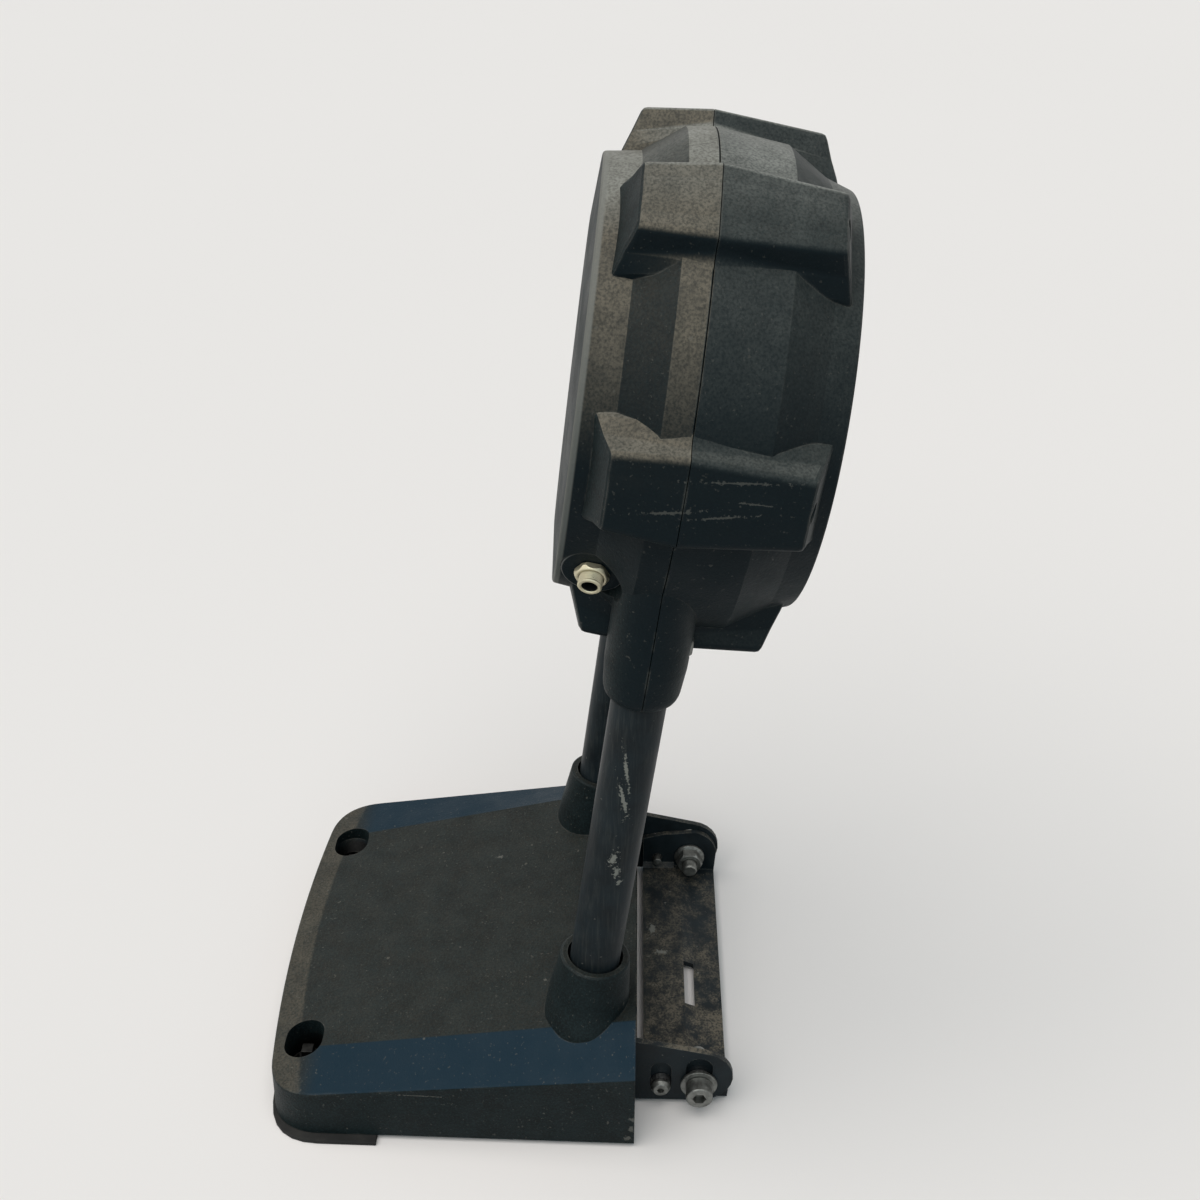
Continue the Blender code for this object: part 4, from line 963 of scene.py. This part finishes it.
def jack_place():
    """Frame of the jack: z outwards along its axis, from the floor of its pocket."""
    spot, turn, tilt = (math.radians(a) for a in (JACK_SPOT, JACK_TURN, JACK_TILT))
    outwards = Vector((math.cos(turn) * math.cos(tilt), math.sin(turn) * math.cos(tilt), math.sin(tilt)))
    across = Vector((math.sin(turn), -math.cos(turn), 0.0))
    floor = Vector((JACK_OUT * math.cos(spot), JACK_OUT * math.sin(spot), JACK_HEIGHT)) * MM
    return HEAD @ axes(floor, across, outwards)


def dish_profile(outline, inside, closed=False):
    """Outline with its corners rounded, followed by the plain inner line."""
    return rounded([p[:2] for p in outline] + list(inside), [p[2] for p in outline] + [0.0] * len(inside), 4,
                   closed)


def audience_half():
    """Shallow dish of the housing with its short lug halves and the jack's cup and pocket."""
    place = jack_place()
    shell = turned("housing_dish", dish_profile(AUDIENCE_OUTLINE, AUDIENCE_INSIDE), HEAD,
                   bpy.context.scene.pad_housing.turns)
    combine(shell, lugs(AUDIENCE_LUG), 'UNION')
    combine(shell, socket_halves(1), 'UNION')
    core = turned("core", [(0.0, 0.6), (99.4, 0.6), (98.0, 11.1), (86.9, 27.2), (84.9, 40.4), (0.0, 40.4)],
                  HEAD, 90)
    combine(shell, [combine(pin("cup", CUP_R, -3.0, 20.0, place, 72), [core], 'INTERSECT')], 'UNION')
    combine(shell, tube_bores(), 'DIFFERENCE')
    pocket = rounded([(0.0, 0.0), (POCKET_R, 0.0), (POCKET_R, 26.0), (0.0, 26.0)], (0.0, 0.8, 0.0, 0.0), 3)
    combine(shell, [turned("pocket", pocket, place, 72)], 'DIFFERENCE')
    combine(shell, [pin("hole", HOLE_R, -9.0, 2.0, place, 36)], 'DIFFERENCE')
    return settle(shell, "stand", "black_plastic", finish_for("black_plastic"), "housing_audience_half",
                  smooth=16.0)


def drummer_half():
    """Deep ring of the housing, open towards the drummer, with its long lug halves."""
    shell = turned("housing_ring", dish_profile(DRUMMER_OUTLINE, DRUMMER_INSIDE, closed=True), HEAD,
                   bpy.context.scene.pad_housing.turns)
    combine(shell, lugs(DRUMMER_LUG), 'UNION')
    combine(shell, socket_halves(-1), 'UNION')
    combine(shell, tube_bores(), 'DIFFERENCE')
    screws = [place @ Matrix.Translation((LUG_SCREW * MM, 0.0, 0.0)) for place in lug_places()]
    combine(shell, [turned("well", LUG_SCREW_WELL, place, 28) for place in screws], 'DIFFERENCE')
    for _, tag in SIDES:
        spot = HEAD.inverted() @ (tube_place(tag) @ Vector((0.0, 0.0, CLAMP_SCREW * MM)))
        place = HEAD @ Matrix.Translation((spot.x, spot.y, 0.0))
        combine(shell, [turned("sunk", CLAMP_SCREW_WELL, place, 28)], 'DIFFERENCE')
    return settle(shell, "stand", "black_plastic", finish_for("black_plastic"), "housing_drummer_half",
                  smooth=16.0)


class DRUM_OT_housing(bpy.types.Operator):
    """Both halves of the moulded housing"""
    bl_idname = "drum.housing"
    bl_label = "Housing"

    def execute(self, context):
        """Make both halves."""
        audience_half()
        drummer_half()
        return {'FINISHED'}


def contour(half, taper, front, bow, corner, height, inset=0.0):
    """Plan outline of the cover with a bowed front, from the near rear corner round to the far one."""
    def side_x(y):
        return half - inset - taper * y

    def front_y(x):
        return front - inset - bow * x * x

    rear = inset
    y_c = front_y(side_x(front))
    x_c = side_x(y_c)
    soft = corner - inset * 0.4
    start = Vector((side_x(y_c - soft), y_c - soft))
    end = Vector((x_c - soft, front_y(x_c - soft)))
    steps = 12
    arc = []
    for i in range(steps + 1):
        t = i / steps
        arc.append((1 - t) ** 2 * start + 2 * t * (1 - t) * Vector((x_c, y_c)) + t * t * end)
    bars = 20
    run = [Vector((x, front_y(x))) for x in (end.x * (2 * i / bars - 1) for i in range(1, bars))]
    sides = 12
    flank = [Vector((side_x(y), y)) for y in (rear + (start.y - rear) * i / sides for i in range(sides))]
    near = [Vector((-p.x, p.y)) for p in flank + arc]
    rear_run = [Vector((side_x(rear) * (1 - 2 * i / bars), rear)) for i in range(1, bars)]
    plan = near + run + arc[::-1] + flank[::-1] + rear_run
    return [Vector((p.x, p.y, height(p.y))) for p in plan]


def skirt_z(y):
    """Height of the cover's lower ridge."""
    return SKIRT_Z + SKIRT_SLOPE * y


def deck_z(y):
    """Height of the cover's sloping top."""
    return TOP_Z + TOP_SLOPE * y


def wedge_rows(inset, low, sink, ridge):
    """Rings of the wedge: foot, lower ridge, upper ridge and a ring inside the top."""
    foot = contour(SKIRT_HALF + SKIRT_DRAFT, SKIRT_TAPER, SKIRT_FRONT + SKIRT_DRAFT, SKIRT_BOW, SKIRT_CORNER,
                   lambda y: low, inset)
    lower = contour(SKIRT_HALF, SKIRT_TAPER, SKIRT_FRONT, SKIRT_BOW, SKIRT_CORNER,
                    lambda y: skirt_z(y) - sink * 0.6, inset)
    upper, inside = [contour(TOP_HALF, TOP_TAPER, TOP_FRONT, TOP_BOW, TOP_CORNER,
                             lambda y: deck_z(y) - sink, gap) for gap in (inset, inset + 8.0)]
    for a, b in zip(inside, upper):
        if b.y <= inset + 0.001:
            a.y = b.y
            a.z = b.z
    return rounded_rows([foot, lower, upper, inside], (0.0, ridge, ridge, 0.0), 4)


def sleeve(tag, side):
    """Tube sleeve: round at the rim, wider and drawn outwards at its foot."""
    ring = circle(1.0, 64)
    rows = [[(side * out + rx * x, ry * y, t) for x, y, _ in ring] for t, rx, ry, out in SLEEVE_RINGS]
    return skin("sleeve", rounded_rows(rows, (0.0, 26.0, 30.0, 0.8, 0.0), 6), tube_place(tag))


def well_cutter(side, well, sizes):
    """Cutter of a corner well: round low down, its mouth drawn outwards."""
    low = [(x, y) for x, y, _ in circle(sizes.well_radius / MM, 72)]
    outer = [max(0.0, min(1.0, side * x / 3.0 + 0.5)) for x, _ in low]
    mouth = [(x + share * side * sizes.well_reach / MM, y) for share, (x, y) in zip(outer, low)]
    levels = ((8.0, low), (15.0, low), (21.0, mouth), (70.0, mouth))
    rows = [[(x, y, z) for x, y in ring] for z, ring in levels]
    return skin("well", rows, Matrix.Translation((well.x, well.y, 0.0)))


def cover_shell():
    """Wedge cover: hollow shell, solid front corners with wells, bosses, two sleeves and ear slots."""
    sizes = bpy.context.scene.pad_cover
    shell = skin("base_shell", wedge_rows(0.0, COVER_LOW, 0.0, sizes.ridge / MM), BASE)
    hollow = skin("hollow", wedge_rows(COVER_WALL, -5.0, COVER_WALL, 0.0), BASE)
    radius = sizes.well_radius / MM
    wells = [middle("anchor_bolt_" + tag) for _, tag in SIDES]
    upright = [Matrix.Translation((well.x, well.y, 0.0)) for well in wells]
    corners = []
    for (side, _), well in zip(SIDES, wells):
        low, high = sorted((side * (abs(well.x) / MM - radius - WELL_WALL), side * 130.0))
        behind = (well.y - BASE.translation.y) / MM - radius - WELL_WALL
        corners.append(block(low, high, behind, 200.0, DECK, 70.0, BASE))
    combine(hollow, corners, 'DIFFERENCE')
    screws = [middle(f"cover_screw_{row}_{tag}") for _, tag in SIDES for row in ("rear", "front")]
    bosses = [Matrix.Translation((screw.x, screw.y, 0.0)) for screw in screws]
    combine(hollow, [pin("boss", BOSS_R, DECK, 70.0, place, 32) for place in bosses], 'DIFFERENCE')
    combine(shell, [hollow], 'DIFFERENCE')
    combine(shell, [sleeve(tag, side) for side, tag in SIDES], 'UNION')
    for size in SLEEVE_BORES:
        combine(shell, [pin("bore", *size, tube_place(tag)) for _, tag in SIDES], 'DIFFERENCE')
    for (side, _), well in zip(SIDES, wells):
        combine(shell, [well_cutter(side, well, sizes)], 'DIFFERENCE')
    combine(shell, [pin("hole", ANCHOR_HOLE_R, 0.0, 12.0, place, 24) for place in upright], 'DIFFERENCE')
    combine(shell, [pin("pilot", PILOT_R, 0.0, 16.0, place, 20) for place in bosses], 'DIFFERENCE')
    slots = []
    for side, _ in SIDES:
        low, high = sorted(side * edge for edge in EAR_SLOT)
        slots.append(block(low, high, -EAR_SLOT_HALF, EAR_SLOT_HALF, 0.0, EAR_SLOT_TOP, BASE))
    combine(shell, slots, 'DIFFERENCE')
    combine(shell, [block(-EAR_SLOT[1], EAR_SLOT[1], -5.0, 4.0, -1.0, DECK, BASE)], 'DIFFERENCE')
    return settle(shell, "stand", "black_plastic", finish_for("cover_plastic"), "base_cover", smooth=14.0)


class DRUM_OT_cover(bpy.types.Operator):
    """Wedge-shaped base cover"""
    bl_idname = "drum.cover"
    bl_label = "Base cover"

    def execute(self, context):
        """Make the cover."""
        cover_shell()
        return {'FINISHED'}


def swell(pad):
    """Simulate the cloth under pressure with its edge and back held, and keep each point near its start."""
    held = pad.vertex_groups.new(name="held")
    inverse = HEAD.inverted()
    still = []
    for vert in pad.data.vertices:
        spot = inverse @ vert.co
        if spot.z > (PAD_FACE + 0.2) * MM or spot.xy.length > (PAD_RADIUS - 2.6) * MM:
            still.append(vert.index)
    held.add(still, 1.0, 'REPLACE')
    start = [vert.co.copy() for vert in pad.data.vertices]
    cloth = pad.modifiers.new("Cloth", 'CLOTH')
    cloth.settings.vertex_group_mass = "held"
    cloth.settings.use_pressure = True
    cloth.settings.uniform_pressure_force = 4.0
    cloth.settings.effector_weights.gravity = 0.0
    for step in range(1, 21):
        bpy.context.scene.frame_set(step)
    pick(pad)
    bpy.ops.object.modifier_apply(modifier=cloth.name)
    bpy.context.scene.frame_set(1)
    cap = PAD_SWELL * MM
    for vert, place in zip(pad.data.vertices, start):
        move = vert.co - place
        if move.length > cap:
            vert.co = place + move.normalized() * cap
    shape(pad, 'SUBSURF', levels=1)


def strike_cloth():
    """Cloth face of the strike pad, blown up a little under its cloth, with a turned-in edge."""
    rings = 36
    profile = [(PAD_RADIUS * i / rings, PAD_FACE) for i in range(rings - 1)]
    profile += rounded([(PAD_RADIUS * (rings - 1) / rings, PAD_FACE), (PAD_RADIUS, PAD_FACE),
                        (PAD_RADIUS, PAD_BACK)], (0.0, 1.5, 0.0), 5)
    profile += [(PAD_RADIUS * 0.5, PAD_BACK), (0.0, PAD_BACK)]
    pad = turned("strike_cloth", profile, HEAD, 120)
    swell(pad)
    return settle(pad, "strike_face", "pad_fabric", finish_for("pad_fabric"), "strike_pad", smooth=60.0)


def cushion_foam():
    """Foam block behind the strike pad: a soft-edged disc that the pad squeezes."""
    profile = rounded([(0.0, FOAM_FACE), (FOAM_RADIUS, FOAM_FACE), (74.3, -48.8), (FOAM_RADIUS, FOAM_BACK),
                       (0.0, FOAM_BACK)], (0.0, 1.2, 6.0, 1.2, 0.0), 4)
    foam = turned("cushion_foam", profile, HEAD, 96)
    settle(foam, "stand", "foam", finish_for("foam"), "strike_foam", smooth=60.0)
    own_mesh(foam)


def sensor_cushion():
    """Foam ring that carries the sensor disc."""
    profile = rounded([(0.0, CUSHION_FACE), (CUSHION_RADIUS, CUSHION_FACE), (17.0, -40.8),
                       (CUSHION_RADIUS, CUSHION_BACK), (0.0, CUSHION_BACK)], (0.0, 0.6, 2.0, 0.6, 0.0), 3)
    ring = turned("sensor_cushion", profile, HEAD, 48)
    settle(ring, "stand", "foam", finish_for("foam"), "sensor_foam", smooth=60.0)


class DRUM_OT_strike(bpy.types.Operator):
    """Strike pad, its foam and the sensor's foam"""
    bl_idname = "drum.strike"
    bl_label = "Strike pad and foam"

    def execute(self, context):
        """Make the soft pieces."""
        strike_cloth()
        cushion_foam()
        sensor_cushion()
        return {'FINISHED'}


def ear_place(node, side):
    """Frame on a fastener's axis with z outwards from the ear, 85 mm out being the ear's inner face."""
    spot = middle(node)
    return axes((0.0, spot.y, spot.z), (0, side, 0), (side, 0, 0))


def fastener(name, node, profile, place, key=0.0, key_from=0.0, key_to=0.0):
    """Turned fastener of the pedal plate, with a hexagonal socket if a key size is given."""
    ob = turned(name, profile, place, 64)
    if key:
        combine(ob, [hexagon(key, key_from, key_to, place)], 'DIFFERENCE')
    return settle(ob, "pedal_carriage", "zinc", finish_for("zinc"), node, smooth=28.0)


def flange_nut(tag, place):
    """Hexagonal nut with a domed end and a round flange."""
    low, high = FLANGE
    flange = turned("flange", rounded([(CLEAR_R, high), (FLANGE_R, high), (FLANGE_R, 79.8), (7.0, low),
                                       (CLEAR_R, low)], (0.0, 0.3, 0.4, 0.0, 0.0), 3, closed=True), place, 64)
    nut = hexagon(NUT_ACROSS, NUT_END, 79.6, place)
    dome = turned("dome", rounded([(0.0, NUT_END), (6.4, NUT_END), (7.9, 74.6), (7.9, 80.0), (0.0, 80.0)],
                                  (0.0, 0.5, 0.8, 0.0, 0.0), 3), place, 48)
    combine(nut, [dome], 'INTERSECT')
    combine(nut, [pin("hole", CLEAR_R, 70.0, 84.0, place, 48)], 'DIFFERENCE')
    combine(nut, [flange], 'UNION')
    nut.name = "nut_" + tag
    return settle(nut, "pedal_carriage", "zinc", finish_for("zinc"), "flange_nut_" + tag, smooth=28.0)


def plate_bolts():
    """Socket head bolts, washers, flange nuts and guide screws of the pedal plate."""
    under, top = BOLT_HEAD
    bolt = rounded([(0.0, BOLT_END), (3.4, BOLT_END), (BOLT_R, 68.2), (BOLT_R, under), (BOLT_HEAD_R, under),
                    (BOLT_HEAD_R, top), (0.0, top)], (0.0, 0.2, 0.2, 0.0, 0.2, 0.9, 0.0), 4)
    inner, outer = WASHER
    washer = rounded([(CLEAR_R, inner), (WASHER_R, inner), (WASHER_R, outer), (CLEAR_R, outer)],
                     (0.2, 0.35, 0.35, 0.2), 3, closed=True)
    seat, crown = SCREW_HEAD
    screw = rounded([(0.0, SCREW_END), (SCREW_R, SCREW_END), (SCREW_R, seat), (SCREW_HEAD_R, seat),
                     (SCREW_HEAD_R, 90.0), (3.6, crown), (0.0, crown)],
                    (0.0, 0.3, 0.0, 0.2, 0.8, 0.8, 0.0), 4)
    for side, tag in SIDES:
        place = ear_place("plate_bolt_" + tag, side)
        fastener("cap_bolt_" + tag, "plate_bolt_" + tag, bolt, place, BOLT_KEY, 94.0, 99.0)
        fastener("washer_" + tag, "bolt_washer_" + tag, washer, place)
        flange_nut(tag, place)
        place = ear_place("guide_screw_" + tag, side)
        fastener("pan_screw_" + tag, "guide_screw_" + tag, screw, place, SCREW_KEY, 90.0, 93.0)


def steel_tubes():
    """Painted tubes of the stand."""
    foot = (3.6 + 3.0 + 0.3 + TUBE_R * AXIS.z) / AXIS.y
    inner = TUBE_R - TUBE_WALL
    profile = rounded([(inner, foot), (TUBE_R, foot), (TUBE_R, TUBE_TOP), (inner, TUBE_TOP)],
                      (0.2, 0.4, 0.4, 0.2), 3, closed=True)
    for _, tag in SIDES:
        ob = turned("steel_tube_" + tag, profile, tube_place(tag), 96)
        settle(ob, "stand", "black_paint", finish_for("tube_paint"), "tube_" + tag, smooth=40.0)


def jack_pieces():
    """Jack plate, rounded nut and threaded bushing."""
    place = jack_place()
    profile = rounded([(HOLE_R, 0.3), (RING_R, 0.3), (RING_R, 1.6), (HOLE_R, 1.6)], (0.1, 0.4, 0.5, 0.1), 4,
                      closed=True)
    ring = turned("jack_ring", profile, place, 96)
    settle(ring, "stand", "black_plastic", finish_for("black_plastic"), "jack_plate", smooth=35.0)
    # Painted highlight: the ring's outer top edge gets a paler finish, as if light caught it
    repaint(ring, place, finish_for("jack_rim_highlight"), lambda radius, height: radius > 12.1 and height > 0.9)
    nut = hexagon(JACK_NUT, 1.9, 4.9, place, "hex_nut", math.radians(30.0))
    dome = turned("dome", rounded([(0.0, 1.9), (JACK_NUT_R, 1.9), (JACK_NUT_R, 3.4), (6.1, 4.9), (0.0, 4.9)],
                                  (0.0, 0.3, 1.2, 0.7, 0.0), 5), place, 64)
    combine(nut, [dome], 'INTERSECT')
    combine(nut, [pin("hole", 5.15, 0.0, 7.0, place, 48)], 'DIFFERENCE')
    shape(nut, 'BEVEL', width=0.00025, segments=2, limit_method='ANGLE', angle_limit=math.radians(25.0))
    settle(nut, "stand", "nickel", finish_for("nickel"), "jack_nut", smooth=30.0)
    line = [(BORE_R, 8.6), (3.5, 9.0), (4.4, 9.0), (THREAD_R, 8.5)]
    for i in range(THREAD_RIBS):
        high = 8.3 - i * THREAD_PITCH
        line += [(THREAD_R, high), (THREAD_R, high - 0.12), (4.55, high - 0.36), (4.55, high - 0.42)]
    line += [(THREAD_R, 3.6), (THREAD_R, -3.9), (8.0, -3.9), (8.0, -27.9), (0.0, -27.9), (0.0, -24.9),
             (BORE_R, -24.9)]
    bushing = turned("jack_bushing", line, place, 64)
    settle(bushing, "stand", "nickel", finish_for("nickel"), "jack_body", smooth=30.0)
    # Painted shade: the inside of the bushing's bore gets a near black finish where shade falls in the hole
    repaint(bushing, place, finish_for("jack_bore_shade"), lambda radius, height: radius < 3.3 and height < 8.7)


class DRUM_OT_plate_bolts(bpy.types.Operator):
    """Bolts, washers, nuts and guide screws of the pedal plate"""
    bl_idname = "drum.plate_bolts"
    bl_label = "Pedal plate's fasteners"

    def execute(self, context):
        """Make the fasteners."""
        plate_bolts()
        return {'FINISHED'}


class DRUM_OT_tubes(bpy.types.Operator):
    """Steel tubes of the stand"""
    bl_idname = "drum.tubes"
    bl_label = "Tubes"

    def execute(self, context):
        """Make the tubes."""
        steel_tubes()
        return {'FINISHED'}


class DRUM_OT_jack(bpy.types.Operator):
    """Jack with its ring and nut"""
    bl_idname = "drum.jack"
    bl_label = "Jack"

    def execute(self, context):
        """Make the jack."""
        jack_pieces()
        return {'FINISHED'}


# Nodes whose own merged shape is kept and softened: bevel in millimetres and limit angle
SOFTENED = (("base_plate", 0.5, 40.0), ("pedal_plate", 0.5, 40.0), ("anchor_bolt_near", 0.25, 35.0),
            ("anchor_bolt_far", 0.25, 35.0), ("foot_strip", 0.4, 50.0), ("rear_foot_near", 0.3, 40.0),
            ("rear_foot_far", 0.3, 40.0), ("sensor_plate", 0.15, 50.0), ("sensor_disc", 0.08, 50.0))


class DRUM_OT_steelwork(bpy.types.Operator):
    """Plates, feet and small pieces"""
    bl_idname = "drum.steelwork"
    bl_label = "Steelwork"

    def execute(self, context):
        """Give each node its finish, and soften the edges of the pieces that show."""
        slots = {part["node"]: part["material_slot"] for part in frame["record"]["subparts"]}
        for name, slot in slots.items():
            node = frame["nodes"][name]
            node.data.materials.clear()
            node.data.materials.append(finish_for(slot))
        bodies = frame["record"]["behaviour"]["bodies"]
        homes = {name: body for body, names in bodies.items() for name in names}
        for name, bevel, limit in SOFTENED:
            ob = fine_copy(name, "fine_" + name, bevel, 2, limit)
            # Anchor bolts get a near black finish: painted shade, as they stand deep in the cover's wells
            finish = finish_for("anchor_steel_painted_shade" if name.startswith("anchor") else slots[name])
            settle(ob, homes[name], slots[name], finish, name, smooth=32.0)
        return {'FINISHED'}


def broad_lamp(name, towards, angle, strength, colour):
    """Sun lamp as wide as a large soft box, seen from the part in the given direction."""
    bpy.ops.object.light_add(type='SUN', location=Vector(towards) * 2.0)
    lamp = bpy.context.object
    lamp.name = name
    lamp.data.angle = math.radians(angle)
    lamp.data.energy = strength
    lamp.data.color = colour
    lamp.rotation_euler = Vector(towards).to_track_quat('Z', 'Y').to_euler()
    return lamp


def set_camera():
    """Camera at the photograph's viewing angle."""
    bpy.ops.object.camera_add(location=CAMERA_PLACE)
    camera = bpy.context.object
    camera.name = "camera"
    camera.rotation_euler = [math.radians(a) for a in CAMERA_TURN]
    camera.data.sensor_width = 36.0
    camera.data.lens = CAMERA_LENS
    camera.data.shift_x, camera.data.shift_y = CAMERA_SHIFT
    camera.data.clip_start = 0.01
    bpy.context.scene.camera = camera


def set_stage():
    """Pale floor, low even sky and broad lamps from above, the audience's side and the camera's side."""
    look = bpy.context.scene.pad_stage
    bpy.ops.object.select_all(action='DESELECT')
    bpy.ops.mesh.primitive_plane_add(size=14.0, location=(0, 0, 0))
    floor = bpy.context.object
    floor.name = "floor"

    def tone(mat):
        cloud = noise(mat, object_points(mat), 1.2, 3.0)
        pale = blend(mat, cloud, tuple(look.floor), scaled(look.floor, 0.985))
        return blend(mat, shown(mat), (0.34, 0.345, 0.35, 1.0), pale)

    floor.data.materials.append(surface("pale_floor", tone, 0.85, None, Specular_IOR_Level=0.0))
    world = bpy.data.worlds.new("sky")
    bpy.context.scene.world = world
    world.use_nodes = True
    back = world.node_tree.nodes["Background"]
    seen = shown(world)
    level = add(world, 'ShaderNodeMapRange', {"Value": seen, "To Min": look.sky, "To Max": 0.79})
    world.node_tree.links.new(level.outputs["Result"], back.inputs["Strength"])
    hue = blend(world, seen, (0.6, 0.86, 1.0, 1.0), (1.0, 0.99, 0.975, 1.0))
    world.node_tree.links.new(hue, back.inputs["Color"])
    broad_lamp("key", (-0.28, 0.22, 0.93), 75.0, look.key, (1.0, 0.985, 0.955))
    broad_lamp("audience_side", (0.1, 0.9, 0.35), 60.0, look.side, (1.0, 0.96, 0.9))
    broad_lamp("fill", (-1.0, -0.05, 0.12), 70.0, look.fill, (0.42, 0.84, 1.0))
    bpy.context.scene.view_settings.view_transform = 'Standard'


class DRUM_OT_stage(bpy.types.Operator):
    """Camera, floor and light"""
    bl_idname = "drum.stage"
    bl_label = "Stage"

    def execute(self, context):
        """Set the stage."""
        set_camera()
        set_stage()
        return {'FINISHED'}


class DRUM_PT_panel(bpy.types.Panel):
    """Sizes, colours and steps of the drum pad"""
    bl_idname = "DRUM_PT_panel"
    bl_label = "Drum Pad"
    bl_space_type = 'VIEW_3D'
    bl_region_type = 'UI'
    bl_category = "Drum Pad"

    def draw(self, context):
        """List the settings and the steps."""
        layout = self.layout
        for group in GROUPS:
            settings = getattr(context.scene, group)
            for key in settings.bl_rna.properties.keys():
                if key not in ("rna_type", "name"):
                    layout.prop(settings, key)
        for step in STEPS:
            layout.operator(step.bl_idname)


GROUPS = {"pad_housing": HousingSizes, "pad_cover": CoverSizes, "pad_finishes": Finishes,
          "pad_stage": StageSettings}
STEPS = (DRUM_OT_stage, DRUM_OT_steelwork, DRUM_OT_housing, DRUM_OT_cover, DRUM_OT_strike,
         DRUM_OT_plate_bolts, DRUM_OT_tubes, DRUM_OT_jack)


def register():
    """Add the settings, the steps and the panel."""
    for name, group in GROUPS.items():
        bpy.utils.register_class(group)
        setattr(bpy.types.Scene, name, bpy.props.PointerProperty(type=group))
    for step in STEPS + (DRUM_PT_panel,):
        bpy.utils.register_class(step)


def unregister():
    """Take them away again."""
    for step in (DRUM_PT_panel,) + STEPS[::-1]:
        bpy.utils.unregister_class(step)
    for name, group in GROUPS.items():
        delattr(bpy.types.Scene, name)
        bpy.utils.unregister_class(group)


def main():
    """Run every step in order."""
    register()
    bpy.ops.drum.stage()
    bpy.ops.drum.steelwork()
    bpy.ops.drum.housing()
    bpy.ops.drum.cover()
    bpy.ops.drum.strike()
    bpy.ops.drum.plate_bolts()
    bpy.ops.drum.tubes()
    bpy.ops.drum.jack()


if __name__ == "__main__":
    main()
